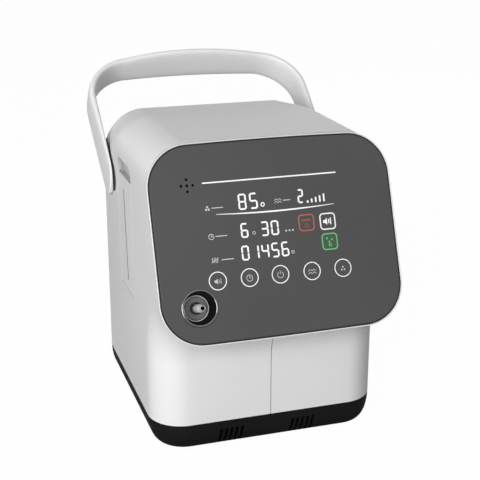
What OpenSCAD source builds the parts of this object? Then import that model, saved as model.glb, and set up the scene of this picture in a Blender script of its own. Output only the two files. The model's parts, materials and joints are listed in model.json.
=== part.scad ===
// Home oxygen concentrator: a white two-part casing on a black base tray, with a sloped
// control panel, a swinging strap handle, a tilting filter cover and the works inside.
// Millimetres. +Z is up, the front faces -Y, +X is the viewer's right, and the origin is on
// the floor under the middle of the base.

/* [Casing] */
// Width of the casing
body_w = 222; // [206:1:240]
// Depth of the casing, without the head that leans out over the front
body_d = 212; // [204:1:236]
// Wall of the casing
wall = 3; // [2.4:0.1:3.6]
// Upright corner radius at the front
front_corner_r = 33; // [28:1:38]
// Upright corner radius at the back
rear_corner_r = 12; // [11:1:16]
// How far the head leans out over the lower front
head_reach = 47; // [44:0.1:56]
// Radius of the hollow under the chin of the head
chin_r = 40; // [30:1:42]
// Corner radius of the head, seen from the front
head_r = 37; // [30:1:42]
// Corner radius of the roof's rear part, seen from the front
roof_r = 47; // [43:1:52]
// Slope of the rear part of the top, in degrees
rear_slope = 4; // [0:0.5:6]
// Length of the sloped rear part of the top
rear_slope_len = 70; // [40:1:90]
// Width of the seam down the lower front
seam_w = 0.8; // [0.5:0.1:1.2]
// Depth of the seam down the lower front
seam_depth = 1; // [0.6:0.1:1.4]

/* [Base] */
// Height of the black base tray
base_h = 27; // [25:1:34]
// Radius of the base tray's lower edge
base_edge_r = 10; // [7:1:10]
// Wall of the base tray
base_wall = 3; // [2.5:0.1:4]
// Height of the rubber feet under the base tray
foot_h = 2; // [1.5:0.5:6]
// Radius of a rubber foot
foot_r = 9; // [6:0.5:12]
// Distance of a foot's middle from the casing's sides
foot_in = 37; // [32:1:42]
// Slots in each group of vents
vent_count = 5; // [3:1:6]
// Width of a vent slot
vent_w = 2.2; // [1.5:0.1:2.8]
// Distance between vent slots
vent_pitch = 4.8; // [4:0.1:6]
// Distance between the two groups of vents
vent_group_gap = 68; // [50:1:90]

/* [Control panel] */
// Width of the control panel
panel_w = 224; // [212:1:242]
// Height of the control panel along its slope
panel_h = 172.2; // [166:0.2:180]
// Lean of the control panel, in degrees from upright
panel_tilt = 21.5; // [18:0.5:24]
// Corner radius of the control panel
panel_r = 37; // [30:1:42]
// Height of the panel's lower edge above the floor
panel_bottom_z = 129.6; // [127:0.2:135]
// Thickness of the panel plate
panel_t = 3; // [2:0.1:4]
// Width of the pale rim round the panel
rim_w = 1.4; // [1:0.1:2]
// Depth of the rim frame behind the panel face
rim_depth = 8; // [7:0.1:10]
// Width of the ledge that carries the panel plate
ledge_w = 10; // [9:0.5:12]
// Radius of a speaker hole
speaker_hole_r = 1.15; // [0.8:0.05:1.5]
// Distance between speaker holes
speaker_hole_pitch = 5.2; // [4:0.1:6]
// Radius of the speaker
speaker_r = 14.5; // [10:0.5:15]
// Distance between touch keys
key_pitch = 29.1; // [26:0.1:31]
// Radius of a touch pad
pad_r = 6; // [4:0.5:7]
// Space between the panel plate and the display board
board_gap = 10; // [8:0.5:11]
// Thickness of a circuit board
board_t = 1.6; // [1.2:0.1:2]

/* [Oxygen outlet] */
// Outlet's distance from the panel's left edge
outlet_in = 34.2; // [30:0.2:36]
// Outlet's distance from the panel's lower edge, along the slope
outlet_up = 31.7; // [29:0.1:34]
// Outer radius of the outlet ring
outlet_ring_r = 16.5; // [16:0.1:19]
// Radius of the cup's mouth
cup_mouth_r = 14.4; // [13.6:0.1:14.8]
// Radius of the cup's floor
cup_floor_r = 11.8; // [11:0.1:12.4]
// Depth of the cup
cup_depth = 15; // [13:0.5:17]
// Wall of the cup
cup_wall = 1.5; // [1.2:0.1:1.6]
// Radius of the nozzle's barrel
nozzle_r = 3.7; // [3.6:0.1:4]
// Radius of the nozzle's shank, through the cup's floor
shank_r = 3.3; // [3:0.1:3.4]
// Radius of the nozzle's neck
neck_r = 2.25; // [2.1:0.05:2.6]
// Radius of the nozzle's flared tip
tip_r = 3.2; // [2.8:0.1:3.6]
// Radius of the nozzle's bore
nozzle_bore_r = 1.65; // [1.2:0.05:1.8]
// How far the nozzle stands out of the panel
nozzle_proud = 10; // [6:0.5:14]
// Radius of the gasket on the nozzle
gasket_r = 4.9; // [4.6:0.1:6]

/* [Handle] */
// Width of the handle strap
strap_w = 38; // [30:1:42]
// Thickness of the handle strap
strap_t = 4; // [3.5:0.1:5]
// Gap between the handle and the casing
handle_gap = 1.6; // [1.2:0.1:2.4]
// Height of the handle above its pivots
handle_rise = 143.2; // [134:0.2:152]
// Corner radius of the handle
handle_corner_r = 55; // [45:1:62]
// Radius of the bowed top of the handle
handle_bow_r = 345; // [300:5:500]
// Pivot's distance behind the middle of the casing
pivot_y = 66.6; // [62:0.2:70]
// Pivot's height above the floor
pivot_z = 227.5; // [223:0.5:231]
// Lean of the handle at rest, in degrees behind upright
handle_lean = 50; // [40:1:55]
// Swing of the handle from rest to its front stop, in degrees
handle_swing = 70; // [50:1:75]
// Radius of a handle pin
pin_r = 4; // [3:0.1:4.5]
// Running clearance of a pin in its bush
pin_clear = 0.05; // [0.02:0.01:0.1]
// Wall of a handle bush
bush_wall = 2.5; // [2:0.1:3]
// Radius of the stop peg on each handle arm
stop_r = 1.8; // [1.4:0.1:2.2]

/* [Filter] */
// Width of the filter cover
cover_w = 56; // [50:1:60]
// Height of the filter cover
cover_h = 112; // [106:1:116]
// Height of the filter cover's lower edge above the floor
cover_bottom_z = 129; // [126:0.5:132]
// Gap round the filter cover
cover_gap = 0.5; // [0.4:0.1:0.8]
// Height of the finger notch above the cover
notch_h = 15; // [12:0.5:18]
// Width of the air slit in the cover
slit_w = 3; // [2:0.1:4]
// Length of the air slit in the cover
slit_h = 90; // [60:1:94]
// Depth of the filter box
filter_box_d = 24; // [20:0.5:25]
// Wall of the filter box
box_wall = 2.5; // [2:0.1:3]
// Depth of the filter cassette
cassette_d = 14; // [10:0.5:16]
// Number of pleats in the filter
pleats = 11; // [7:1:15]

/* [Rear] */
// Width of the rear panel
rear_panel_w = 136; // [128:1:142]
// Height of the rear panel
rear_panel_h = 166; // [160:1:172]
// Height of the rear panel's lower edge above the floor
rear_panel_z = 38; // [37:0.5:42]
// Thickness of the rear panel
rear_panel_t = 1.5; // [1.2:0.1:1.8]
// Size of the square fan
fan_size = 80; // [70:1:84]
// Depth of the fan
fan_d = 25; // [20:0.5:25]
// Height of the fan's middle above the floor
fan_z = 146; // [142:0.5:150]
// Number of fan blades
fan_blades = 7; // [5:1:9]
// Sideways place of the mains inlet and of the switch
socket_x = 34; // [30:0.5:40]
// Height of the mains inlet and of the switch above the floor
socket_z = 66; // [62:0.5:72]
// Swing of the switch rocker, in degrees
rocker_swing = 18; // [12:1:22]

/* [Works] */
// Radius of the compressor motor
motor_r = 40; // [34:0.5:42]
// Length of the compressor motor
motor_len = 100; // [92:1:104]
// Height of the compressor mounts
mount_h = 16; // [12:0.5:18]
// Length of a cylinder head along the motor
head_len = 32; // [26:1:33]
// Radius of a sieve column
column_r = 25; // [20:0.5:26]
// Length of a sieve column
column_len = 166; // [150:1:170]
// Sideways place of the sieve columns
column_x = 62; // [60:0.5:64]
// Thickness of a column cap
cap_t = 12; // [8:0.5:14]
// Radius of the oxygen tank
tank_r = 26; // [20:0.5:27]
// Height of the valve block
block_h = 22; // [20:0.5:24]
// Radius of the exhaust muffler
muffler_r = 15; // [10:0.5:16]
// Diameter of the thick hoses
hose_d = 9; // [7:0.5:10]
// Diameter of the oxygen hose
oxygen_hose_d = 7; // [6:0.5:8]
// Radius of a screw's shank
screw_r = 1.5; // [1.2:0.1:1.7]

/* [Hidden] */
$fn = 64;

// Reach of a cutting block, larger than the whole object
far = 400;
// Small overlap that keeps a cut clean
eps = 0.5;
// Clearance of a shank in its hole and of a piece in its seat
fit = 0.1;

// Heights of the casing
base_top_z = foot_h + base_h;
floor_z = foot_h + base_wall;
top_over_panel = 1.6;
top_z = panel_bottom_z + panel_h * cos(panel_tilt) + top_over_panel;
front_y = -body_d / 2;
rear_y = body_d / 2;
half_w = body_w / 2;
inner_x = half_w - wall;
inner_rear_y = rear_y - wall;

// Control panel: its lower edge, its middle and the planes of its pieces
panel_bottom_y = front_y - head_reach;
panel_mid_y = panel_bottom_y + panel_h / 2 * sin(panel_tilt);
panel_mid_z = panel_bottom_z + panel_h / 2 * cos(panel_tilt);
ledge_n = -panel_t;
rim_back_n = -rim_depth;
board_n = -panel_t - board_gap;
outlet_u = outlet_in - panel_w / 2;
outlet_v = outlet_up - panel_h / 2;
speaker_in = 34.8;
speaker_down = 34.4;
speaker_u = speaker_in - panel_w / 2;
speaker_v = panel_h / 2 - speaker_down;
speaker_d = 8;
speaker_cone_d = 3;
speaker_rim = 2;
key_u0 = -1.4;
key_up = 52.9;
key_v = key_up - panel_h / 2;

// Display board and the lit module on it, from the edges of the panel and the row of keys
module_left_in = 52;
module_right_in = 50;
module_over_keys = 11.4;
module_down = 35.9;
module_left = module_left_in - panel_w / 2;
module_right = panel_w / 2 - module_right_in;
module_low = key_v + module_over_keys;
module_high = panel_h / 2 - module_down;
board_left_in = 43.5;
board_right_in = 40;
board_under_keys = 9.1;
board_down = 31.9;
board_left = board_left_in - panel_w / 2;
board_right = panel_w / 2 - board_right_in;
board_low = key_v - board_under_keys;
board_high = panel_h / 2 - board_down;
display_post_r = 2.5;
display_post_in = 4;
display_post_up = 28;
display_post_end = 7;

// Casing screws
screw_head_r = 2 * screw_r;
screw_head_t = 2;
boss_r = screw_r + 2.5;
bezel_screw_u = panel_w / 2 - ledge_w + screw_head_r + 0.5;
bezel_screw_v = 46;
bezel_boss_len = 14;
corner_post_r = 5;
corner_post_in = 13;
corner_post_h = 14;
base_screw_seat_z = 20;
bezel_screw_len = 0.8 * bezel_boss_len;
base_screw_len = 1.3 * corner_post_h;
rear_boss_len = 9;
rear_screw_len = rear_boss_len;

// Handle
arm_in = half_w + handle_gap;
arm_out = arm_in + strap_t;
eye_r = strap_w / 2 + 1.2;
eye_in = 0.2;
eye_out = 0.4;
stop_reach = strap_w / 2 - stop_r - 1.5;
stop_depth = 1.6;
stop_clear = 0.3;
stop_start = 270 - handle_lean;
bush_r = pin_r + pin_clear + bush_wall;
bush_in = half_w - 11.7;
bush_flange_t = 3;
bush_flange_r = bush_r + 3;
pin_head_t = 3;
pin_blind = strap_t - 1.4;
washer_r = stop_reach - stop_r - 0.8;

// Filter
hinge_r = wall / 2;
hinge_x = -half_w + wall / 2;
hinge_z = cover_bottom_z + hinge_r;
peg_r = 1;
peg_len = 3;
cover_top_z = cover_bottom_z + cover_h;
notch_top_z = cover_top_z + notch_h;
notch_d = 10;
slit_y = 4.7;
box_in = -inner_x + filter_box_d;
box_half = cover_w / 2 + cover_gap;
box_bottom_z = cover_bottom_z - 1;

// Rear
fan_y = rear_y - rear_panel_t - fan_d / 2;
fan_hub_r = 18;
fan_bore_r = fan_size / 2 - 2;
rear_mid_z = rear_panel_z + rear_panel_h / 2;
rear_ledge = 6;
rear_screw_x = rear_panel_w / 2 - rear_ledge;
rear_screw_z = rear_panel_h / 2 - rear_ledge;
pocket_gap = 0.3;
inlet_w = 27;
inlet_h = 20;
inlet_d = 20;
inlet_flange = 2.2;
switch_w = 13;
switch_h = 19;
switch_d = 14;
switch_flange = 1.6;
rocker_r = 7.6;
rocker_w = 9.6;
rocker_sink = 3.5;
axle_r = 1;

// Outlet
disc_t = 1;
disc_gap = 0.4;
gasket_tube_r = (gasket_r - shank_r - pin_clear) / 2;
gasket_n = disc_t + gasket_tube_r - cup_depth;
barrel_gap = 0.3;
barrel_n = gasket_n + gasket_tube_r + barrel_gap;
nozzle_tail = 5;
cup_floor_t = 1.5;
ring_rise = 1.2;
ring_slant = 0.6;

// Works
motor_y = -38;
mount_seat_z = floor_z + 5;
plate_z = mount_seat_z + mount_h;
plate_t = 4;
motor_z = plate_z + plate_t + motor_r;
mount_x = 42;
mount_dy = 32;
mount_r = 8;
head_top_z = motor_z + motor_r + 8;
head_dy = 35;
fin_h = 14;
case_top_z = head_top_z - fin_h;
head_port_h = 6;
cap_r = column_r + 3;
cap_gap = 1;
column_to_box = inner_x - filter_box_d - column_x;
column_y = box_half + box_wall + sqrt(max(0, pow(cap_r + cap_gap, 2) - pow(column_to_box, 2)));
seat_z = floor_z + 5;
column_z = seat_z + cap_t;
column_top_z = column_z + column_len;
block_z = column_top_z + cap_t;
block_mid_z = block_z + block_h / 2;
block_x = column_x + 14;
block_dy = 16;
block_front_y = column_y - block_dy;
block_rear_y = column_y + block_dy;
tank_top_z = block_z - 14;
air_port_x = 50;
flow_x = 22;
flow_w = 26;
flow_d = 24;
flow_front_y = block_front_y - flow_d;
muffler_len = 84;
muffler_gap = 4;
muffler_neck_r = 6;
muffler_z = max(block_mid_z, fan_z + fan_size / 2 + muffler_r + muffler_gap / 2);
valve_size = 24;
valve_h = 22;
valve_pitch = 44;
valve_stem_r = 5;
valve_stem_h = 26;

// Boards on the right wall: gap to the wall, front edge, length, foot and height
wall_board_gap = 8;
wall_board_x = inner_x - wall_board_gap - board_t;
wall_board_y = -58;
wall_board_len = 80;
power_z = 142;
power_h = 80;
control_z = 52;
control_h = 60;
power_part_d = 16;
control_part_d = 5;
board_post_r = 3;
board_post_in = 4;

// Ion generator on the right wall
ion_d = 16;
ion_len = 40;
ion_h = 18;
ion_y = -78;
ion_z = 230;

// Routes of the hoses, from end to end
nozzle_back_n = -cup_depth - nozzle_tail;
nozzle_back = panel_point(outlet_u, outlet_v, nozzle_back_n);
spigot_len = 6;
spigot_up = 22;
intake_port = [-inner_x + filter_box_d / 2, -box_half - box_wall - spigot_len, box_bottom_z + spigot_up];
intake_head_port = [-motor_len / 2 - head_len + 7, motor_y - 24, head_top_z + head_port_h];
air_head_port = [motor_len / 2 + 12, motor_y + 8, head_top_z + head_port_h];
air_block_port = [air_port_x, block_front_y, block_mid_z];
flow_port = [flow_x, flow_front_y, block_mid_z];

// A point on the control panel, from its middle: across, along the slope and out of the face
function panel_point(u, v, n) = [
    u,
    panel_mid_y + v * sin(panel_tilt) - n * cos(panel_tilt),
    panel_mid_z + v * cos(panel_tilt) + n * sin(panel_tilt)
];

// A smooth curve through a list of points, in steps
function curve_at(a, b, c, d, t) =
    0.5 * (2 * b + (c - a) * t + (2 * a - 5 * b + 4 * c - d) * t * t
        + (3 * b - a - 3 * c + d) * t * t * t);
function curve(points, steps) = let (last = len(points) - 1) concat(
    [for (i = [0 : last - 1], s = [0 : steps - 1]) curve_at(
        points[max(i - 1, 0)], points[i], points[i + 1], points[min(i + 2, last)], s / steps)],
    [points[last]]);
function unit(v) = v / norm(v);
function tangent(points, i) = unit(points[min(i + 1, len(points) - 1)] - points[max(i - 1, 0)]);
function ring(centre, along, r, sides) = let (
    side = unit(cross(along, abs(along[0]) < 0.8 ? [1, 0, 0] : [0, 1, 0])),
    up = cross(side, along)
) [for (k = [0 : sides - 1]) centre + r * (cos(360 * k / sides) * side + sin(360 * k / sides) * up)];

// A round tube swept along a curve, square to its two end directions
module swept_tube(points, d, start_dir, end_dir, sides = 10) {
    path = curve(points, 4);
    last = len(path) - 1;
    rings = [for (i = [0 : last])
        each ring(path[i], i == 0 ? start_dir : i == last ? end_dir : tangent(path, i), d / 2, sides)];
    skin = [for (i = [0 : last - 1], k = [0 : sides - 1]) let (
        a = i * sides + k,
        b = i * sides + (k + 1) % sides
    ) each [[a, b, b + sides], [a, b + sides, a + sides]]];
    caps = [
        [for (k = [0 : sides - 1]) sides - 1 - k],
        [for (k = [0 : sides - 1]) last * sides + k]
    ];
    polyhedron(rings, concat(caps, skin));
}

// A rectangle with round corners, about its middle
module round_rect(w, h, r) {
    square([w - 2 * r, h], center = true);
    square([w, h - 2 * r], center = true);
    for (x = [-1, 1], y = [-1, 1])
        translate([x * (w / 2 - r), y * (h / 2 - r)])
            circle(r);
}

// Puts children on the control panel: x across, y up the slope, z out of its face
module on_panel() {
    translate([0, panel_mid_y, panel_mid_z])
        rotate([90 - panel_tilt, 0, 0])
            children();
}

// Puts children on the outlet's axis, z out of the panel
module on_outlet() {
    on_panel()
        translate([outlet_u, outlet_v, 0])
            children();
}

// Turns children so that their z runs along X and their x along Y
module along_x() {
    rotate([90, 0, 90])
        children();
}

// Extrudes an outline seen from the front (x across, y up) from y0 back to y1
module along_y(y0, y1) {
    translate([0, y1, 0])
        rotate([90, 0, 0])
            linear_extrude(y1 - y0)
                children();
}

// Puts children at both handle pivots, x outward
module both_pivots() {
    for (side = [0, 1])
        mirror([side, 0, 0])
            translate([0, pivot_y, pivot_z])
                children();
}

// Outline of the casing seen from above, drawn in by a wall
module plan(inset) {
    w = half_w - inset;
    d = body_d / 2 - inset;
    rf = front_corner_r - inset;
    rr = rear_corner_r - inset;
    translate([-w, -d + rf])
        square([2 * w, 2 * d - rf - rr]);
    translate([-w + rf, -d])
        square([2 * (w - rf), rf]);
    translate([-w + rr, d - rr])
        square([2 * (w - rr), rr]);
    for (x = [-1, 1]) {
        translate([x * (w - rf), -d + rf])
            circle(rf);
        translate([x * (w - rr), d - rr])
            circle(rr);
    }
}

// Outline of the head seen from the front, drawn in by a wall
module head_outline(inset) {
    h = top_z - panel_bottom_z - 2 * inset;
    translate([0, (top_z + panel_bottom_z) / 2])
        round_rect(body_w - 2 * inset, h, head_r - inset);
}

// Outline of the whole casing seen from the front: the head's top over straight sides
module front_outline(inset) {
    head_outline(inset);
    translate([-half_w + inset, 0])
        square([body_w - 2 * inset, top_z - head_r]);
}

// Hollow curve that joins the underside of the head to the lower front
module chin(inset) {
    len_x = body_w - 2 * head_r;
    translate([-len_x / 2 + inset, 0, 0])
        along_x()
            linear_extrude(len_x - 2 * inset)
                translate([front_y - chin_r, panel_bottom_z - chin_r])
                    difference() {
                        square(chin_r + inset + eps);
                        circle(chin_r + inset);
                    }
}

// Space under the rear part of the roof, which slopes down to the back and has rounder corners.
// Its sides stand a little clear of the casing's own.
module under_roof(inset) {
    clear = 0.5;
    translate([0, rear_y - rear_slope_len, top_z - inset])
        rotate([-rear_slope, 0, 0])
            translate([0, 0, inset - top_z])
                along_y(-far, far)
                    round_rect(body_w + 2 * clear - 2 * inset, 2 * (top_z - inset), roof_r - inset);
}

// The casing as a full block, drawn in by a wall
module casing_block(inset, low_z) {
    head_root = 20;
    intersection() {
        union() {
            translate([0, 0, low_z])
                linear_extrude(top_z - low_z)
                    plan(inset);
            along_y(panel_bottom_y - head_root, 0)
                head_outline(inset);
            chin(inset);
        }
        along_y(-far, far)
            front_outline(inset);
        under_roof(inset);
    }
}

// Space in front of a plane parallel to the control panel
module ahead_of_panel(n) {
    on_panel()
        translate([-far / 2, -far / 2, n])
            cube([far, far, far]);
}

// Place of a screw post in each bottom corner of the casing
function corner_post(x, y) = let (
    r = y < 0 ? front_corner_r : rear_corner_r,
    out = (r - corner_post_in) * sqrt(0.5)
) [x * (half_w - r + out), y * (body_d / 2 - r + out), 0];

// Screw posts in the casing's bottom corners, with the ribs that tie them to the wall
module corner_posts() {
    for (x = [-1, 1], y = [-1, 1])
        translate(corner_post(x, y) + [0, 0, base_top_z]) {
            cylinder(r = corner_post_r, h = corner_post_h);
            rotate([0, 0, atan2(y, x)])
                translate([0, -wall / 2, 0])
                    cube([corner_post_in - wall / 2, wall, corner_post_h]);
        }
}

// Screw posts behind the rim frame, against the casing's sides
module bezel_posts() {
    for (x = [-1, 1], y = [-1, 1])
        on_panel()
            translate([x * bezel_screw_u, y * bezel_screw_v, rim_back_n - bezel_boss_len])
                cylinder(r = half_w - bezel_screw_u - eps, h = bezel_boss_len);
}

// Screw posts behind the corners of the rear panel
module rear_posts() {
    for (x = [-1, 1], z = [-1, 1])
        translate([x * rear_screw_x, inner_rear_y + eps, rear_mid_z + z * rear_screw_z])
            rotate([90, 0, 0])
                cylinder(r = boss_r, h = rear_boss_len);
}

// Pocket and window for the rear panel
module rear_window() {
    along_y(rear_y - rear_panel_t, rear_y + 5)
        translate([0, rear_mid_z])
            round_rect(rear_panel_w + 2 * pocket_gap, rear_panel_h + 2 * pocket_gap, 10);
    difference() {
        along_y(inner_rear_y - 5, rear_y)
            translate([0, rear_mid_z])
                square([rear_panel_w - 2 * rear_ledge, rear_panel_h - 2 * rear_ledge], center = true);
        rear_posts();
    }
}

// Shank holes for every screw that goes into the casing
module casing_screw_holes() {
    r = screw_r + fit;
    for (x = [-1, 1], y = [-1, 1]) {
        translate(corner_post(x, y) + [0, 0, base_top_z - eps])
            cylinder(r = r, h = corner_post_h - 2);
        on_panel()
            translate([x * bezel_screw_u, y * bezel_screw_v, rim_back_n - bezel_boss_len + 2])
                cylinder(r = r, h = bezel_boss_len);
        translate([x * rear_screw_x, rear_y, rear_mid_z + y * rear_screw_z])
            rotate([90, 0, 0])
                cylinder(r = r, h = rear_screw_len + 1);
    }
}

// Bush hole and curved stop slot at each handle pivot
module handle_holes() {
    both_pivots() {
        translate([inner_x - 5, 0, 0])
            along_x()
                cylinder(r = bush_r + fit, h = wall + 10);
        translate([half_w - stop_depth - stop_clear, 0, 0])
            along_x()
                rotate([0, 0, stop_start])
                    stop_slot();
    }
}

// Slot that the handle's stop peg runs in, as long as its swing and the peg's own width
module stop_slot() {
    w = stop_r + stop_clear;
    half_peg = asin(w / (stop_reach - w));
    rotate([0, 0, -half_peg])
        rotate_extrude(angle = handle_swing + 2 * half_peg)
            translate([stop_reach - w, 0])
                square([2 * w, 5]);
}

// Outline of the filter cover seen from the side, its lower edge on the hinge
module cover_outline(grow) {
    translate([-cover_w / 2 - grow, hinge_z - hinge_r - grow])
        square([cover_w + 2 * grow, cover_h + grow + (grow > 0 ? eps : 0)]);
}

// Outline of the finger notch over the cover
module notch_outline() {
    translate([0, cover_top_z + notch_h / 2])
        round_rect(cover_w, notch_h, notch_h / 2 - 0.1);
    translate([-cover_w / 2, cover_top_z - 1])
        square([cover_w, notch_h / 2 + 1]);
}

// Doorway for the filter cover in the left side, with its peg holes
module filter_doorway() {
    translate([-half_w - 5, 0, 0])
        along_x()
            linear_extrude(wall + 10) {
                cover_outline(cover_gap);
                notch_outline();
            }
    translate([hinge_x, 0, hinge_z])
        rotate([90, 0, 0])
            cylinder(r = peg_r + pin_clear, h = cover_w + 2 * cover_gap + 2 * peg_len, center = true);
}

// Both halves of the casing in one
module casing() {
    difference() {
        union() {
            difference() {
                casing_block(0, base_top_z);
                casing_block(wall, 0);
                ahead_of_panel(rim_back_n);
            }
            corner_posts();
            bezel_posts();
            intersection() {
                rear_posts();
                casing_block(0, base_top_z);
            }
        }
        rear_window();
        casing_screw_holes();
        handle_holes();
        translate([-seam_w / 2, front_y - 5, base_top_z - eps])
            cube([seam_w, 5 + seam_depth, panel_bottom_z - chin_r - base_top_z]);
    }
}

module left_shell() {
    color("whitesmoke")
        difference() {
            casing();
            translate([0, -far / 2, 0])
                cube(far);
            filter_doorway();
        }
}

module right_shell() {
    color("whitesmoke")
        difference() {
            casing();
            translate([-far, -far / 2, 0])
                cube(far);
        }
}

// Side section of the base tray's edge, from a corner's middle outward
module base_section(r, edge, low_z) {
    translate([0, low_z + edge])
        square([r, base_top_z - low_z - edge]);
    translate([0, low_z])
        square([r - edge, edge]);
    intersection() {
        translate([r - edge, low_z + edge])
            circle(edge);
        translate([r - edge, low_z])
            square(edge);
    }
}

// Solid bowl with a round lower edge
module base_bowl(inset, low_z) {
    edge = base_edge_r - inset;
    for (x = [0, 1])
        mirror([x, 0, 0]) {
            translate([half_w - front_corner_r, front_y + front_corner_r, 0])
                rotate([0, 0, -90])
                    rotate_extrude(angle = 90)
                        base_section(front_corner_r - inset, edge, low_z);
            translate([half_w - rear_corner_r, rear_y - rear_corner_r, 0])
                rotate_extrude(angle = 90)
                    base_section(rear_corner_r - inset, edge, low_z);
            translate([half_w - front_corner_r, rear_y - rear_corner_r, 0])
                rotate([90, 0, 0])
                    linear_extrude(body_d - front_corner_r - rear_corner_r)
                        base_section(front_corner_r - inset, edge, low_z);
        }
    translate([-half_w + front_corner_r, front_y + front_corner_r, 0])
        rotate([90, 0, 90])
            mirror([1, 0, 0])
                linear_extrude(body_w - 2 * front_corner_r)
                    base_section(front_corner_r - inset, edge, low_z);
    translate([-half_w + rear_corner_r, rear_y - rear_corner_r, 0])
        rotate([90, 0, 90])
            linear_extrude(body_w - 2 * rear_corner_r)
                base_section(rear_corner_r - inset, edge, low_z);
    translate([-half_w + front_corner_r, front_y + front_corner_r, low_z])
        cube([body_w - 2 * front_corner_r, body_d - front_corner_r - rear_corner_r, base_top_z - low_z]);
}

// Lip that stands up inside the casing's lower edge
module base_lip() {
    root_h = 6;
    lip_h = 4;
    lip_t = 2;
    gap = 0.3;
    difference() {
        union() {
            translate([0, 0, base_top_z - root_h])
                linear_extrude(root_h)
                    plan(base_wall / 2);
            translate([0, 0, base_top_z - eps])
                linear_extrude(lip_h + eps)
                    plan(wall + gap);
        }
        translate([0, 0, base_top_z - root_h - 1])
            linear_extrude(root_h + lip_h + 2)
                plan(wall + gap + lip_t);
    }
}

// Bosses that carry the screws, the compressor mounts and the sieve columns
module base_bosses() {
    for (x = [-1, 1], y = [-1, 1])
        translate(corner_post(x, y) + [0, 0, floor_z])
            cylinder(r = corner_post_r + 1, h = base_top_z - floor_z);
    for (x = [-mount_x, mount_x], y = [motor_y - mount_dy, motor_y + mount_dy])
        translate([x, y, floor_z - eps])
            cylinder(r = mount_r, h = mount_seat_z - floor_z + eps);
    for (x = [-column_x, 0, column_x])
        translate([x, column_y, floor_z - eps])
            cylinder(r = column_r, h = seat_z - floor_z + eps);
}

// One group of vent slots in the front of the base tray
module vents() {
    land = 8;
    for (side = [-1, 1], i = [0 : vent_count - 1])
        translate([side * vent_group_gap / 2 + (i - (vent_count - 1) / 2) * vent_pitch, 0, 0])
            translate([-vent_w / 2, front_y - 5, foot_h - 1])
                cube([vent_w, base_edge_r + 5, base_h - land]);
}

module base_tray() {
    color("#1b1b1d")
        difference() {
            union() {
                difference() {
                    base_bowl(0, foot_h);
                    translate([0, 0, 0.01])
                        base_bowl(base_wall, floor_z);
                }
                difference() {
                    base_lip();
                    for (x = [-1, 1], y = [-1, 1])
                        translate(corner_post(x, y))
                            cylinder(r = corner_post_in + 2, h = far);
                }
                intersection() {
                    base_bosses();
                    base_bowl(0, foot_h);
                }
            }
            vents();
            for (x = [-1, 1], y = [-1, 1])
                translate(corner_post(x, y)) {
                    cylinder(r = screw_r + fit, h = far);
                    cylinder(r = screw_head_r + 0.5, h = base_screw_seat_z);
                }
        }
}

module rubber_feet() {
    color("#101010")
        for (x = [-1, 1], y = [-1, 1])
            translate([x * (half_w - foot_in), y * (body_d / 2 - foot_in), 0])
                cylinder(r = foot_r, h = foot_h);
}

// Outline of the control panel in its own plane
module panel_outline(grow) {
    round_rect(panel_w + 2 * grow, panel_h + 2 * grow, panel_r + grow);
}

module bezel_frame() {
    undercut = panel_w / 2 - half_w + 1.2;
    undercut_t = 2;
    color("gainsboro")
        on_panel()
            difference() {
                union() {
                    translate([0, 0, rim_back_n + undercut_t])
                        linear_extrude(rim_depth - undercut_t - 0.5)
                            panel_outline(rim_w);
                    translate([0, 0, rim_back_n])
                        linear_extrude(undercut_t)
                            panel_outline(-undercut);
                }
                translate([0, 0, ledge_n])
                    linear_extrude(panel_t)
                        panel_outline(fit);
                translate([0, 0, rim_back_n - 1])
                    linear_extrude(rim_depth)
                        panel_outline(-ledge_w);
                for (x = [-1, 1], y = [-1, 1])
                    translate([x * bezel_screw_u, y * bezel_screw_v, 0]) {
                        translate([0, 0, rim_back_n - 1])
                            cylinder(r = screw_r + fit, h = rim_depth);
                        translate([0, 0, ledge_n - screw_head_t - 0.2])
                            cylinder(r = screw_head_r + fit, h = 5);
                    }
            }
}

module control_panel() {
    color("#4d4d4d")
        on_panel()
            difference() {
                translate([0, 0, -panel_t])
                    linear_extrude(panel_t)
                        panel_outline(0);
                translate([outlet_u, outlet_v, -panel_t - 1])
                    cylinder(r = cup_mouth_r + cup_wall + fit, h = panel_t + 2);
                for (p = [[0, 0], [1, 0], [-1, 0], [0, 1], [0, -1]])
                    translate([speaker_u + p[0] * speaker_hole_pitch,
                        speaker_v + p[1] * speaker_hole_pitch, -panel_t - 1])
                        cylinder(r = speaker_hole_r, h = panel_t + 2);
            }
}

module outlet_ring() {
    color("silver")
        on_outlet()
            rotate_extrude()
                polygon([
                    [cup_mouth_r, 0],
                    [outlet_ring_r, 0],
                    [outlet_ring_r - ring_slant, ring_rise],
                    [cup_mouth_r, ring_rise]
                ]);
}

module outlet_cup() {
    hole_r = shank_r + fit;
    color("#0c0c0c")
        on_outlet()
            rotate_extrude()
                polygon([
                    [hole_r, -cup_depth - cup_floor_t],
                    [cup_floor_r + cup_wall, -cup_depth - cup_floor_t],
                    [cup_mouth_r + cup_wall, -panel_t],
                    [cup_mouth_r + cup_wall, 0],
                    [cup_mouth_r, 0],
                    [cup_floor_r, -cup_depth],
                    [hole_r, -cup_depth]
                ]);
}

module outlet_disc() {
    color("#5a5a5a")
        on_outlet()
            translate([0, 0, -cup_depth])
                difference() {
                    cylinder(r = cup_floor_r - disc_gap, h = disc_t);
                    translate([0, 0, -1])
                        cylinder(r = shank_r + fit, h = disc_t + 2);
                }
}

// Round gasket that sits on the disc, under the nozzle's barrel
module outlet_gasket() {
    color("#080808")
        on_outlet()
            translate([0, 0, gasket_n])
                rotate_extrude()
                    translate([gasket_r - gasket_tube_r, 0])
                        circle(gasket_tube_r);
}

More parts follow.
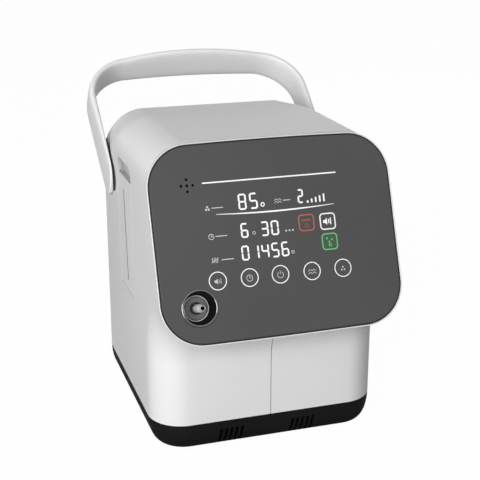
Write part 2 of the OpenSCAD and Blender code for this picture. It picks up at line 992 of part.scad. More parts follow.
// The nozzle is a shank, a barrel, a neck and a flared tip, with a through bore
module outlet_nozzle() {
    shoulder = nozzle_proud - 7;
    neck_low = nozzle_proud - 5;
    neck_high = nozzle_proud - 2.6;
    flare = nozzle_proud - 1.6;
    tip_taper = 0.6;
    color("silver")
        on_outlet()
            rotate_extrude()
                polygon([
                    [nozzle_bore_r, nozzle_back_n],
                    [shank_r, nozzle_back_n],
                    [shank_r, barrel_n],
                    [nozzle_r, barrel_n],
                    [nozzle_r, shoulder],
                    [neck_r, neck_low],
                    [neck_r, neck_high],
                    [tip_r, flare],
                    [tip_r - tip_taper, nozzle_proud],
                    [nozzle_bore_r, nozzle_proud]
                ]);
}

module display_board() {
    color("darkgreen")
        on_panel()
            translate([board_left, board_low, board_n - board_t])
                difference() {
                    cube([board_right - board_left, board_high - board_low, board_t]);
                    translate([speaker_u - board_left, speaker_v - board_low, -1])
                        cylinder(r = speaker_r + 1.5, h = board_t + 2);
                }
}

module display_module() {
    color("#202020")
        on_panel()
            translate([module_left, module_low, board_n])
                cube([module_right - module_left, module_high - module_low, board_gap]);
}

module touch_pads() {
    color("dimgray")
        for (i = [-2 : 2])
            on_panel()
                translate([key_u0 + i * key_pitch, key_v, board_n])
                    cylinder(r = pad_r, h = board_gap);
}

module display_posts() {
    left_u = board_left + display_post_in;
    right_u = board_right - display_post_in;
    places = [
        [left_u, board_high - display_post_up],
        [left_u, board_low + display_post_up],
        [right_u, board_high - display_post_end],
        [right_u, board_low + display_post_end]
    ];
    color("goldenrod")
        for (p = places)
            on_panel()
                translate([p[0], p[1], board_n])
                    cylinder(r = display_post_r, h = board_gap);
}

module speaker() {
    color("black")
        on_panel()
            translate([speaker_u, speaker_v, -panel_t - speaker_d])
                difference() {
                    cylinder(r = speaker_r, h = speaker_d);
                    translate([0, 0, speaker_d - speaker_cone_d])
                        cylinder(r1 = speaker_r / 2, r2 = speaker_r - speaker_rim, h = speaker_cone_d + 0.01);
                }
}

// Points on an arc in a plane, from one angle to another
function arc(centre, r, a0, a1, steps) = [
    for (i = [0 : steps]) let (a = a0 + (a1 - a0) * i / steps) centre + r * [cos(a), sin(a)]
];

// One edge of the handle's strap in its own plane: arms, round corners and a bowed top
function strap_edge(inset) = let (
    corner_steps = 14,
    bow_steps = 10,
    bow_step_in = 2,
    corner_x = arm_out - handle_corner_r,
    bow_z = handle_rise - handle_bow_r,
    corner_z = bow_z + sqrt(pow(handle_bow_r - handle_corner_r, 2) - corner_x * corner_x),
    turn = 90 - atan2(corner_x, corner_z - bow_z)
) concat(
    [[arm_out - inset, 0]],
    arc([corner_x, corner_z], handle_corner_r - inset, 0, turn, corner_steps),
    arc([0, bow_z], handle_bow_r - inset, turn + bow_step_in, 180 - turn - bow_step_in, bow_steps),
    arc([-corner_x, corner_z], handle_corner_r - inset, 180 - turn, 180, corner_steps),
    [[inset - arm_out, 0]]
);

// The handle's strap, between its outer and inner edges
module handle_strap() {
    outer = strap_edge(0);
    inner = strap_edge(strap_t);
    linear_extrude(strap_w, center = true)
        polygon(concat(outer, [for (i = [len(inner) - 1 : -1 : 0]) inner[i]]));
}

module handle() {
    color("gainsboro")
        difference() {
            union() {
                translate([0, pivot_y, pivot_z])
                    rotate([90 - handle_lean, 0, 0])
                        handle_strap();
                both_pivots() {
                    translate([arm_in - eye_in, 0, 0])
                        along_x()
                            cylinder(r = eye_r, h = strap_t + eye_in + eye_out);
                    translate([half_w - stop_depth, 0, 0])
                        along_x()
                            rotate([0, 0, stop_start])
                                translate([stop_reach, 0, 0])
                                    cylinder(r = stop_r, h = stop_depth + handle_gap + 1);
                }
            }
            both_pivots()
                translate([arm_in - 1, 0, 0])
                    along_x()
                        cylinder(r = pin_r + 0.02, h = pin_blind + 1);
        }
}

module handle_pins() {
    color("silver")
        both_pivots()
            translate([bush_in - 0.2, 0, 0])
                along_x() {
                    cylinder(r = pin_r, h = arm_in + pin_blind - bush_in + 0.2);
                    translate([0, 0, -pin_head_t])
                        cylinder(r = bush_r, h = pin_head_t);
                }
}

module handle_bushes() {
    color("ivory")
        both_pivots()
            along_x()
                difference() {
                    union() {
                        translate([0, 0, bush_in])
                            cylinder(r = bush_r, h = half_w - bush_in);
                        translate([0, 0, inner_x - bush_flange_t])
                            cylinder(r = bush_flange_r, h = bush_flange_t);
                    }
                    translate([0, 0, bush_in - 1])
                        cylinder(r = pin_r + pin_clear, h = far);
                }
}

module handle_washers() {
    color("dimgray")
        both_pivots()
            translate([half_w, 0, 0])
                along_x()
                    difference() {
                        cylinder(r = washer_r, h = handle_gap - eye_in - 0.1);
                        translate([0, 0, -1])
                            cylinder(r = pin_r + pin_clear, h = handle_gap + 2);
                    }
}

// The cover's lower edge is a round bead on the hinge line, with a peg at each end
module filter_cover() {
    lip = 4;
    color("whitesmoke")
        difference() {
            union() {
                translate([-half_w, 0, 0])
                    along_x()
                        linear_extrude(wall)
                            translate([-cover_w / 2, hinge_z])
                                square([cover_w, cover_h - hinge_r]);
                translate([hinge_x, 0, hinge_z])
                    rotate([90, 0, 0]) {
                        cylinder(r = hinge_r, h = cover_w, center = true);
                        cylinder(r = peg_r, h = cover_w + 2 * cover_gap + 2 * peg_len - 0.4, center = true);
                    }
                translate([-inner_x - eps, -cover_w / 2 + 6, cover_top_z - 3])
                    cube([lip + eps, cover_w - 12, 3]);
            }
            translate([-half_w - 1, slit_y - slit_w / 2, cover_bottom_z + (cover_h - slit_h) / 2])
                cube([wall + 2, slit_w, slit_h]);
        }
}

// Open box behind the cover, with the pocket behind the finger notch and a spigot to the front.
// It follows the casing's rounding at the top, and its flange lies on the flat of the wall.
module filter_box() {
    out_half = box_half + box_wall;
    low_z = box_bottom_z - box_wall;
    high_z = notch_top_z + box_wall;
    roof_gap = 0.4;
    flange_t = 1.5;
    color("lightgray")
        difference() {
            union() {
                intersection() {
                    translate([-inner_x, -out_half, low_z])
                        cube([filter_box_d, 2 * out_half, high_z - low_z]);
                    casing_block(wall + roof_gap, 0);
                }
                translate([-inner_x, -out_half, low_z])
                    cube([flange_t, 2 * out_half, min(high_z, top_z - head_r) - low_z]);
                translate([intake_port[0], intake_port[1], intake_port[2]])
                    rotate([-90, 0, 0])
                        cylinder(d = hose_d, h = spigot_len + eps);
            }
            translate([-inner_x - 1, -box_half, box_bottom_z])
                cube([filter_box_d - box_wall + 1, 2 * box_half, cover_top_z - box_bottom_z]);
            translate([-inner_x - 1, 0, 0])
                along_x()
                    linear_extrude(notch_d - wall + 1)
                        notch_outline();
            translate([intake_port[0], intake_port[1] - 1, intake_port[2]])
                rotate([-90, 0, 0])
                    cylinder(d = hose_d - 3, h = 12);
        }
}

module filter_frame() {
    h = cover_top_z - box_bottom_z - 8;
    color("lightsteelblue")
        translate([box_in - box_wall - cassette_d, 0, box_bottom_z])
            difference() {
                translate([0, -box_half + 0.4, 0])
                    cube([cassette_d, 2 * box_half - 0.8, h]);
                translate([-1, -box_half + 3.4, 3])
                    cube([cassette_d + 2, 2 * box_half - 6.8, h - 6]);
            }
}

module filter_pleats() {
    w = 2 * box_half - 6.8;
    h = cover_top_z - box_bottom_z - 14;
    paper = 0.8;
    depth = cassette_d - 2;
    pitch = w / pleats;
    front = [for (i = [0 : 2 * pleats]) [i % 2 == 0 ? 0 : depth - 2 * paper, i * pitch / 2]];
    back = [for (i = [2 * pleats : -1 : 0]) [front[i][0] + 2 * paper, front[i][1]]];
    color("white")
        translate([box_in - box_wall - cassette_d + 1, -w / 2, box_bottom_z + 3])
            linear_extrude(h)
                polygon(concat(front, back));
}

// Plate that closes the back, with a grille, and windows for the mains inlet and the switch
module rear_panel() {
    slot_w = 4;
    slot_pitch = 8;
    slots = floor(fan_bore_r / slot_pitch);
    color("whitesmoke")
        difference() {
            along_y(rear_y - rear_panel_t, rear_y)
                difference() {
                    translate([0, rear_mid_z])
                        round_rect(rear_panel_w, rear_panel_h, 10 - pocket_gap);
                    for (i = [-slots : slots])
                        translate([i * slot_pitch, fan_z])
                            square([slot_w, 2 * sqrt(pow(fan_bore_r, 2) - pow(i * slot_pitch, 2))],
                                center = true);
                    translate([socket_x, socket_z])
                        square([inlet_w + 2 * fit, inlet_h + 2 * fit], center = true);
                    translate([-socket_x, socket_z])
                        square([switch_w + 2 * fit, switch_h + 2 * fit], center = true);
                }
            for (x = [-1, 1], z = [-1, 1])
                translate([x * rear_screw_x, rear_y + 1, rear_mid_z + z * rear_screw_z])
                    rotate([90, 0, 0])
                        cylinder(r = screw_r + fit, h = 5);
        }
}

// Puts children on the fan's axis, z toward the back
module on_fan() {
    translate([0, fan_y, fan_z])
        rotate([-90, 0, 0])
            children();
}

module fan_frame() {
    spoke_w = 4;
    spoke_t = 3;
    motor_t = 5;
    color("#2a2a2a")
        on_fan()
            difference() {
                union() {
                    translate([0, 0, -fan_d / 2])
                        linear_extrude(fan_d)
                            difference() {
                                round_rect(fan_size, fan_size, 4);
                                circle(fan_bore_r);
                            }
                    translate([0, 0, -fan_d / 2])
                        cylinder(r = fan_hub_r, h = motor_t);
                    for (a = [45 : 90 : 315])
                        rotate([0, 0, a])
                            translate([fan_hub_r - 1, -spoke_w / 2, -fan_d / 2])
                                cube([fan_bore_r - fan_hub_r + 2, spoke_w, spoke_t]);
                }
                translate([0, 0, -fan_d / 2 - 1])
                    cylinder(r = 1.5 + pin_clear, h = motor_t + 2);
                for (x = [-1, 1], y = [-1, 1])
                    translate([x * (fan_size / 2 - 4.2), y * (fan_size / 2 - 4.2), -fan_d])
                        cylinder(r = 2.1, h = 2 * fan_d);
            }
}

// Hub with blades set at a slant, and the shaft that runs in the frame
module fan_rotor() {
    low = -fan_d / 2 + 6;
    hub_h = fan_d - 9;
    blade_t = 1.4;
    slant = 38;
    color("#3a3a3a")
        on_fan() {
            translate([0, 0, low])
                cylinder(r = fan_hub_r, h = hub_h);
            translate([0, 0, -fan_d / 2])
                cylinder(r = 1.5, h = 8);
            intersection() {
                translate([0, 0, low])
                    cylinder(r = fan_bore_r - 1, h = hub_h);
                for (i = [0 : fan_blades - 1])
                    rotate([0, 0, i * 360 / fan_blades])
                        translate([fan_hub_r - 2, 0, low + hub_h / 2])
                            rotate([slant, 0, 0])
                                translate([0, -blade_t / 2, -fan_d])
                                    cube([fan_bore_r, blade_t, 2 * fan_d]);
            }
        }
}

// Mains inlet: a flange, a body and a socket with three blades
module mains_inlet() {
    blade = [2, 4];
    color("#151515")
        translate([socket_x, rear_y, socket_z])
            rotate([-90, 0, 0]) {
                difference() {
                    union() {
                        linear_extrude(inlet_flange)
                            round_rect(inlet_w + 5, inlet_h + 5, 2);
                        translate([0, 0, -inlet_d])
                            linear_extrude(inlet_d)
                                square([inlet_w, inlet_h], center = true);
                    }
                    translate([0, 0, -inlet_d + 4])
                        linear_extrude(inlet_d)
                            round_rect(inlet_w - 3, inlet_h - 4, 3);
                }
                for (x = [-7, 0, 7])
                    translate([x - blade[0] / 2, (x == 0 ? 2 : -2) - blade[1] / 2, -inlet_d + 3])
                        cube([blade[0], blade[1], inlet_d - 6]);
            }
}

// Puts children on the switch rocker's axle, x along it, y up and z out of the back
module on_switch() {
    translate([-socket_x, rear_y + switch_flange - rocker_sink, socket_z])
        rotate([-90, 180, 0])
            children();
}

module switch_body() {
    color("#151515")
        difference() {
            on_switch()
                union() {
                    translate([0, 0, rocker_sink - switch_flange])
                        linear_extrude(switch_flange)
                            square([switch_w + 2, switch_h + 2], center = true);
                    translate([0, 0, rocker_sink - switch_flange - switch_d])
                        linear_extrude(switch_d)
                            square([switch_w, switch_h], center = true);
                }
            on_switch()
                rotate([0, 90, 0]) {
                    cylinder(r = rocker_r + 0.4, h = rocker_w + 0.6, center = true);
                    cylinder(r = axle_r + pin_clear, h = rocker_w + 2.4, center = true);
                }
        }
}

// Round-bellied rocker with two flat faces in a shallow V, tipped to one side at rest
module switch_rocker() {
    valley = rocker_sink - 0.3;
    rise = 2 * rocker_r * tan(rocker_swing / 2);
    color("#303030")
        on_switch()
            rotate([rocker_swing / 2, 0, 0]) {
                along_x()
                    linear_extrude(rocker_w, center = true)
                        intersection() {
                            circle(rocker_r);
                            polygon([
                                [0, valley],
                                [2 * rocker_r, valley + rise],
                                [2 * rocker_r, -2 * rocker_r],
                                [-2 * rocker_r, -2 * rocker_r],
                                [-2 * rocker_r, valley + rise]
                            ]);
                        }
                rotate([0, 90, 0])
                    cylinder(r = axle_r, h = rocker_w + 2, center = true);
            }
}

// Motor with its foot plate and a cast saddle
module compressor_motor() {
    color("silver") {
        translate([0, motor_y, motor_z])
            rotate([0, 90, 0])
                cylinder(r = motor_r, h = motor_len, center = true);
        translate([-mount_x - mount_r - 4, motor_y - mount_dy - mount_r - 2, plate_z])
            cube([2 * (mount_x + mount_r + 4), 2 * (mount_dy + mount_r + 2), plate_t]);
        translate([-motor_len / 2 + 8, motor_y - motor_r / 2, plate_z])
            cube([motor_len - 16, motor_r, motor_r / 2]);
    }
}

// Crankcase with a finned head on top and a hose port
module cylinder_head(port_x, port_y) {
    x0 = motor_len / 2;
    fin_t = 2;
    fin_pitch = 4;
    step = 3;
    case_low_z = plate_z + plate_t + 4;
    translate([x0, motor_y - head_dy, case_low_z])
        cube([head_len, 2 * head_dy, case_top_z - case_low_z]);
    translate([x0 + step, motor_y - head_dy + fin_pitch, case_top_z])
        cube([head_len - 2 * step, 2 * (head_dy - fin_pitch), fin_h / 3]);
    for (i = [0 : floor((2 * head_dy - 10) / fin_pitch)])
        translate([x0 + step, motor_y - head_dy + (i + 1) * fin_pitch, case_top_z])
            cube([head_len - 2 * step, fin_t, fin_h]);
    translate([port_x, port_y, case_top_z])
        cylinder(d = hose_d, h = fin_h + head_port_h);
}

module left_cylinder_head() {
    color("silver")
        mirror([1, 0, 0]) {
            cylinder_head(air_head_port[0], air_head_port[1]);
            translate([-intake_head_port[0], intake_head_port[1], case_top_z])
                cylinder(d = hose_d, h = fin_h + head_port_h);
        }
}

module right_cylinder_head() {
    color("silver")
        cylinder_head(air_head_port[0], air_head_port[1]);
}

module compressor_mounts() {
    color("#181818")
        for (x = [-mount_x, mount_x], y = [motor_y - mount_dy, motor_y + mount_dy])
            translate([x, y, mount_seat_z])
                rotate_extrude()
                    polygon([
                        [0, 0],
                        [mount_r, 0],
                        [mount_r - 2, mount_h / 2],
                        [mount_r, mount_h],
                        [0, mount_h]
                    ]);
}

module sieve_column(x) {
    color("lightgray")
        translate([x, column_y, column_z])
            cylinder(r = column_r, h = column_len);
}

module left_sieve_column() {
    sieve_column(-column_x);
}

module right_sieve_column() {
    sieve_column(column_x);
}

module column_caps(z) {
    for (x = [-column_x, column_x])
        translate([x, column_y, z])
            cylinder(r = cap_r, h = cap_t);
}

module column_bottom_caps() {
    color("silver")
        column_caps(seat_z);
}

module column_top_caps() {
    color("silver")
        column_caps(column_top_z);
}

// Tank with coned ends and a neck into the valve block
module oxygen_tank() {
    cone = 10;
    neck = 5;
    color("lightgray")
        translate([0, column_y, 0])
            rotate_extrude()
                polygon([
                    [0, seat_z],
                    [tank_r - cone, seat_z],
                    [tank_r, seat_z + cone],
                    [tank_r, tank_top_z - cone],
                    [tank_r - cone, tank_top_z],
                    [neck, tank_top_z],
                    [neck, block_z],
                    [0, block_z]
                ]);
}

module valve_block() {
    color("silver")
        translate([-block_x, block_front_y, block_z])
            cube([2 * block_x, 2 * block_dy, block_h]);
}

module solenoid_valves() {
    color("#202020")
        for (i = [-1, 0, 1])
            translate([i * valve_pitch, column_y, block_z + block_h]) {
                translate([-valve_size / 2, -valve_size / 2, 0])
                    cube([valve_size, valve_size, valve_h]);
                cylinder(r = valve_stem_r, h = valve_stem_h);
            }
}

// Muffler on a short neck behind the valve block, clear over the fan
module exhaust_muffler() {
    color("#303030") {
        translate([0, block_rear_y + muffler_gap + muffler_r, muffler_z])
            rotate([0, 90, 0])
                cylinder(r = muffler_r, h = muffler_len, center = true);
        translate([0, block_rear_y, block_mid_z])
            rotate([-90, 0, 0])
                cylinder(r = muffler_neck_r, h = muffler_gap + muffler_r);
    }
}

module flow_valve() {
    color("gray") {
        translate([flow_x - flow_w / 2, flow_front_y + 5, block_mid_z - flow_w / 2 + 3])
            cube([flow_w, flow_d - 5, flow_w - 6]);
        translate([flow_x, flow_front_y, block_mid_z])
            rotate([-90, 0, 0])
                cylinder(d = oxygen_hose_d, h = 10);
    }
}

module intake_hose() {
    a = intake_port;
    b = intake_head_port;
    color("#d8d8d8")
        swept_tube([
            a,
            a + [0, -8, -0.5],
            (a + b) / 2 + [-3, -3, 3],
            b + [-1, 0, 9],
            b
        ], hose_d, [0, -1, 0], [0, 0, -1]);
}

module air_hoses() {
    a = air_head_port;
    b = air_block_port;
    color("#d8d8d8")
        for (side = [0, 1])
            mirror([side, 0, 0])
                swept_tube([
                    a,
                    a + [0, 0, 20],
                    (a + b) / 2 + [0, -12, 10],
                    b + [0, -25, -2],
                    b + [0, -8, 0],
                    b
                ], hose_d, [0, 0, 1], [0, 1, 0]);
}

module oxygen_hose() {
    a = flow_port;
    b = nozzle_back;
    inward = [0, cos(panel_tilt), -sin(panel_tilt)];
    color("#e6e6e6")
        swept_tube([
            a,
            a + [0, -10, 0],
            a + [-12, -34, -5],
            (a + b) / 2 + [0, 12, -4],
            b + 26 * inward + [14, 4, 4],
            b + 10 * inward,
            b
        ], oxygen_hose_d, [0, -1, 0], -inward);
}

// A board on the right wall with its larger components toward the middle. Each component is given by
// its start and length as shares of the board, along it and up it, and its depth as a share of part_d.
module wall_board(z, h, part_d, parts) {
    color("darkgreen")
        translate([wall_board_x, wall_board_y, z])
            cube([board_t, wall_board_len, h]);
    color("#222222")
        for (p = parts)
            translate([wall_board_x - p[4] * part_d, wall_board_y + p[0] * wall_board_len, z + p[2] * h])
                cube([p[4] * part_d, p[1] * wall_board_len, p[3] * h]);
}

module power_board() {
    transformer = [0.1, 0.38, 0.12, 0.35, 1];
    relay = [0.58, 0.3, 0.15, 0.22, 0.75];
    capacitor = [0.12, 0.22, 0.6, 0.28, 0.9];
    heat_sink = [0.45, 0.42, 0.58, 0.12, 0.55];
    wall_board(power_z, power_h, power_part_d, [transformer, relay, capacitor, heat_sink]);
}

module control_board() {
    chip = [0.35, 0.2, 0.4, 0.27, 0.4];
    upper_plug = [0.1, 0.15, 0.67, 0.13, 1];
    lower_plug = [0.65, 0.22, 0.13, 0.13, 0.8];
    wall_board(control_z, control_h, control_part_d, [chip, upper_plug, lower_plug]);
}

module board_posts() {
    heights = [power_z, power_z + power_h, control_z, control_z + control_h];
    color("goldenrod")
        for (i = [0 : 3], end = [0, 1])
            translate([
                wall_board_x + board_t,
                wall_board_y + (end == 0 ? board_post_in : wall_board_len - board_post_in),
                heights[i] + (i % 2 == 0 ? board_post_in : -board_post_in)
            ])
                along_x()
                    cylinder(r = board_post_r, h = wall_board_gap);
}

module ion_generator() {
    color("#1c2a44")
        translate([inner_x - ion_d, ion_y, ion_z])
            cube([ion_d, ion_len, ion_h]);
}

// A screw with a round head, its head at the top of z
module screw(len) {
    cylinder(r = screw_head_r, h = screw_head_t);
    translate([0, 0, -len])
        cylinder(r = screw_r, h = len + 1);
}

module bezel_screws() {
    color("silver")
        for (x = [-1, 1], y = [-1, 1])
            on_panel()
                translate([x * bezel_screw_u, y * bezel_screw_v, ledge_n - screw_head_t - 0.2])
                    screw(bezel_screw_len);
}

module rear_screws() {
    color("silver")
        for (x = [-1, 1], z = [-1, 1])
            translate([x * rear_screw_x, rear_y, rear_mid_z + z * rear_screw_z])
                rotate([-90, 0, 0])
                    screw(rear_screw_len);
}

module base_screws() {
    color("silver")
        for (x = [-1, 1], y = [-1, 1])
            translate(corner_post(x, y) + [0, 0, base_screw_seat_z])
                mirror([0, 0, 1])
                    screw(base_screw_len);
}

left_shell();
right_shell();
base_tray();
rubber_feet();
bezel_frame();
control_panel();
outlet_ring();
outlet_cup();
outlet_disc();
outlet_gasket();
outlet_nozzle();
display_board();
display_module();
touch_pads();
display_posts();
speaker();
handle();
handle_pins();
handle_bushes();
handle_washers();
filter_cover();
filter_box();
filter_frame();
filter_pleats();
rear_panel();
fan_frame();
fan_rotor();
mains_inlet();
switch_body();
switch_rocker();
compressor_motor();
left_cylinder_head();
right_cylinder_head();
compressor_mounts();
left_sieve_column();
right_sieve_column();
column_bottom_caps();
column_top_caps();
oxygen_tank();
valve_block();
solenoid_valves();
exhaust_muffler();
flow_valve();
intake_hose();
air_hoses();
oxygen_hose();
power_board();
control_board();
board_posts();
ion_generator();
bezel_screws();
rear_screws();
base_screws();
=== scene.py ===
"""Looks of a home oxygen concentrator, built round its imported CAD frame.

Lengths below are millimetres unless a comment says otherwise, and MM turns them into metres.
"""

import json
import math

import bpy
from mathutils import Matrix, Vector


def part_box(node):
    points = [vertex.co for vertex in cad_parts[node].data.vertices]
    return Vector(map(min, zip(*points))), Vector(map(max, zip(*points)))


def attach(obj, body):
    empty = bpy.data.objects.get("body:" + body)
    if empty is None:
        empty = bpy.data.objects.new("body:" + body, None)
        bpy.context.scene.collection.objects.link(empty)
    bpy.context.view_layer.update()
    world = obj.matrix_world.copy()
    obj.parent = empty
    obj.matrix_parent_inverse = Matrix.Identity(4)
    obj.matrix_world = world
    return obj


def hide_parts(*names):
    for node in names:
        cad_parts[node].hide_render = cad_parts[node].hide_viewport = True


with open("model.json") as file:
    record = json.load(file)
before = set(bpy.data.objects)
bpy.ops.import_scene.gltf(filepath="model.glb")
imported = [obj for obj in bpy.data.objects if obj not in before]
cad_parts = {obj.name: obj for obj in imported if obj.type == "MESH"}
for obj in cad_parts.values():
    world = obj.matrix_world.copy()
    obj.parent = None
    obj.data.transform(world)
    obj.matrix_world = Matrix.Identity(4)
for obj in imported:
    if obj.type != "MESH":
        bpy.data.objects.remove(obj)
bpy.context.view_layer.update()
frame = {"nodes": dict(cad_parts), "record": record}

MM = 0.001

# Casing
HALF_W = 111.0
FRONT_Y = -106.0
REAR_Y = 106.0
BASE_TOP_Z = 29.0
TOP_Z = 291.4
REAR_SLOPE = 4.9
REAR_SLOPE_LEN = 70.0
REAR_EDGE_R = 9.0
REAR_EDGE_TURN = 86
CHIN_R = 40.0
FRONT_CORNER_R = 33.0
REAR_CORNER_R = 8.0
HEAD_R = 37.0
ROOF_R = 47.0
ROOF_ROUND_Y = (40.0, 102.0)
EDGE_ROUND = 4.0
ROOF_BLEND = 0.8
SKIN_T = 2.6
SEAM_W = 0.9
SEAM_DEPTH = 2.0
SEAM_OUT = 2.0
SEAM_TURN = 88
REAR_PANEL_GAP = 0.3
REAR_PANEL_R = 10.0
BUSH_HOLE_R = 6.6
CUT_DEPTH = 12.0
CUT_LAP = 1.0

# Points along one section of the casing: front or rear middle, front corner, side, roof's round, rear corner
MIDDLE_STEPS = 8
CORNER_STEPS = 14
SIDE_STEPS = 14
ROOF_STEPS = 20
REAR_STEPS = 10
LEAST_BEND = 8
SLOPE_STEP = 0.1

# Sections of the casing: below the chin, in the fan round the chin, and over the roof's rear edge
LOW_STEPS = 6
FAN_STEPS = 72
EDGE_STEPS = 12
EDGE_CLEAR = 0.004
SLANT_LIMIT = 0.5

# Base tray
BASE_BOTTOM_Z = 2.0
BASE_EDGE_R = 13.0
BASE_SIDE_IN = 13.0
BASE_REAR_R = 3.0
VENT_COUNT = 5
VENT_W = 3.0
VENT_PITCH = 5.1
VENT_X = (-41.1, 29.6)
VENT_Z = (3.2, 20.6)
VENT_LEAN = 0.2
VENT_CUT = 18.0
VENT_CUT_OUT = 4.0
BOWL_LEVELS = 20
SCREW_HOLE_R = 3.5
SCREW_SEAT_Z = 20.0
SCREW_CUT_OUT = 2.0
SCREW_AT = ((92.1, -87.1), (98.3, 93.3))

# Control panel
PANEL_W = 224.0
PANEL_H = 172.2
PANEL_TILT = math.radians(21.5)
PANEL_R = 37.0
PANEL_BOTTOM = (-153.0, 129.6)
PANEL_T = 3.0
PANEL_TOP_BOW = 2.0
PANEL_BOTTOM_BOW = 0.8
PANEL_EDGE = 1.5
PANEL_BEVEL = 0.35
PANEL_FINE = 6.0
GROOVE_T = 2.0
GROOVE_SUNK = 0.5
GROOVE_LAP = 1.0
RIM_W = 1.0
RIM_LAP = 0.1
RIM_DEPTH = 2.2
RIM_SUNK = 0.1
RIM_BEVEL = 0.4
# Painted shade behind the rim: how far in it reaches, and how deep
GAP_SHADE_IN = (0.8, 4.0)
GAP_SHADE_DEPTH = 6.0
SPEAKER = (-77.2, 51.5)
SPEAKER_PITCH = 5.2
SPEAKER_HOLE_R = 1.25

# Oxygen outlet
OUTLET = (-77.8, -54.4)
CUP_MOUTH_R = 14.4
CUP_FLOOR_R = 11.8
CUP_DEPTH = 15.0
CUP_WALL = 1.5
CUP_HOLE_R = 3.5
CUP_LIP = 1.4
RING_R = 16.5
RING_RISE = 0.9
RING_HALF = (RING_R - CUP_MOUTH_R) / 2
FLOOR_N = 1.0 - CUP_DEPTH
DISC_R = CUP_FLOOR_R - 0.2
GASKET_R = 4.4
GASKET_HALF = (1.05, 0.9)
SHANK_R = 3.3
SHANK_END = -20
BARREL = 3.7
NECK = 2.2
BORE = 1.9
BORE_END = -19
TIP = 10.0

# Handle
PIVOT = (66.6, 227.5)
HANDLE_LEAN = math.radians(50)
ARM_W = 42.0
STRAP_CORNER_W = 32.3
GRIP_W = 40.0
ARM_END = 18.5
ARM_T = 3.8
GRIP_T = 7.8
STRAP_POWER = 3.2
STRAP_HALF_W = 115.9
STRAP_SPLAY = 3.6
HANDLE_RISE = 145.2
HANDLE_CORNER_R = 51.6
HANDLE_BOW_R = 486.0
STRAP_LEAST_W = 1.2
ARM_TAPER = 0.6
ARM_STEPS = 12
STRAP_CORNER_STEPS = 18
GRIP_STEPS = 16
# Painted shadow beside each arm: where the dark strip lies across and along the arm, and how thick it is
ARM_SHADOW = (12.5, 21.0)
ARM_SHADOW_LINES = 5
ARM_SHADOW_RISE_STEPS = 16
ARM_SHADOW_END_STEPS = 24
ARM_SHADOW_DOWN = 3.8
ARM_SHADOW_UP = 36.0
ARM_SHADOW_CURVE = 0.002
ARM_SHADOW_TURN = 100.0
ARM_SHADOW_POINT = 0.9
ARM_SHADOW_GAP = 0.15
ARM_SHADOW_T = 1.0

# Filter door
DOOR_Y = (-28.0, 30.5)
DOOR_BOTTOM_Z = 129.0
DOOR_TOP_Z = 241.0
HINGE_X = -109.5
HINGE_R = 1.5
HINGE_Z = DOOR_BOTTOM_Z + HINGE_R
AXIS_R = 0.05
DOOR_GAP = 0.5
DOOR_T = 1.4
DOOR_BEVEL = 0.3
NOTCH_TOP_Z = 256.0
NOTCH_R = (14.5, 9.0)
NOTCH_LIP = 0.3
NOTCH_LAP = 0.3
NOTCH_WALL = 1.2
NOTCH_DEPTH = 6.0
NOTCH_FLOOR_T = 1.5
NOTCH_FLOOR_DOWN = 3.0
LEDGE_H = 2.0
LEDGE_R = 0.3
LEDGE_GAP = 0.3
SLIT_Y = (-3.3, 6.1)
SLIT_W = 3.0
SLIT_Z = (140.0, 228.5)
SLIT_T = 0.4
SLIT_PROUD = 0.02

# Floor and light, with lengths in metres, and the camera, in millimetres
FLOOR_REACH = 6.0
FLOOR_GREY = 0.36
FLOOR_WHITE = 1.06
FLOOR_GLOW = 0.92
WORLD_LIGHT = 0.31
LIGHT_TARGET = (0, 0, 0.16)
CAMERA_AT = (-306.2, -968.8, 505.1)
CAMERA_TO = (0.39, -9.3, 171.2)
CAMERA_LENS = 80.85
CAMERA_SENSOR = 36.0


# Materials

def socket_link(tree, a, a_out, b, b_in):
    tree.links.new(a.outputs[a_out], b.inputs[b_in])


def surface(name, dark, light, rough=(0.35, 0.45), metallic=0.0, patch=8.0, grain=900.0, depth=0.02,
            coat=0.0, glow=0.0, specular=0.5):
    """A moulded or metal surface: slow colour patches, uneven roughness and a fine grain in the bump."""
    m = bpy.data.materials.new(name)
    m.use_nodes = True
    tree = m.node_tree
    bsdf = tree.nodes["Principled BSDF"]
    place = tree.nodes.new("ShaderNodeTexCoord")
    patches = tree.nodes.new("ShaderNodeTexNoise")
    patches.inputs["Scale"].default_value = patch
    patches.inputs["Detail"].default_value = 4.0
    ramp = tree.nodes.new("ShaderNodeValToRGB")
    ramp.color_ramp.elements[0].position = 0.3
    ramp.color_ramp.elements[1].position = 0.7
    ramp.color_ramp.elements[0].color = (*dark, 1)
    ramp.color_ramp.elements[1].color = (*light, 1)
    grains = tree.nodes.new("ShaderNodeTexNoise")
    grains.inputs["Scale"].default_value = grain
    grains.inputs["Detail"].default_value = 3.0
    bump = tree.nodes.new("ShaderNodeBump")
    bump.inputs["Strength"].default_value = 0.25
    bump.inputs["Distance"].default_value = depth * MM
    spread = tree.nodes.new("ShaderNodeMapRange")
    spread.inputs["To Min"].default_value = rough[0]
    spread.inputs["To Max"].default_value = rough[1]
    socket_link(tree, place, "Object", patches, "Vector")
    socket_link(tree, place, "Object", grains, "Vector")
    socket_link(tree, patches, "Fac", ramp, "Fac")
    socket_link(tree, patches, "Fac", spread, "Value")
    socket_link(tree, grains, "Fac", bump, "Height")
    socket_link(tree, ramp, "Color", bsdf, "Base Color")
    socket_link(tree, spread, "Result", bsdf, "Roughness")
    socket_link(tree, bump, "Normal", bsdf, "Normal")
    bsdf.inputs["Metallic"].default_value = metallic
    bsdf.inputs["Specular IOR Level"].default_value = specular
    bsdf.inputs["Coat Weight"].default_value = coat
    bsdf.inputs["Coat Roughness"].default_value = 0.12
    # Emission in the surface's own colour; on print it is a painted glow
    if glow:
        socket_link(tree, ramp, "Color", bsdf, "Emission Color")
        bsdf.inputs["Emission Strength"].default_value = glow
    return m


def grey(v):
    return (v, v, v)


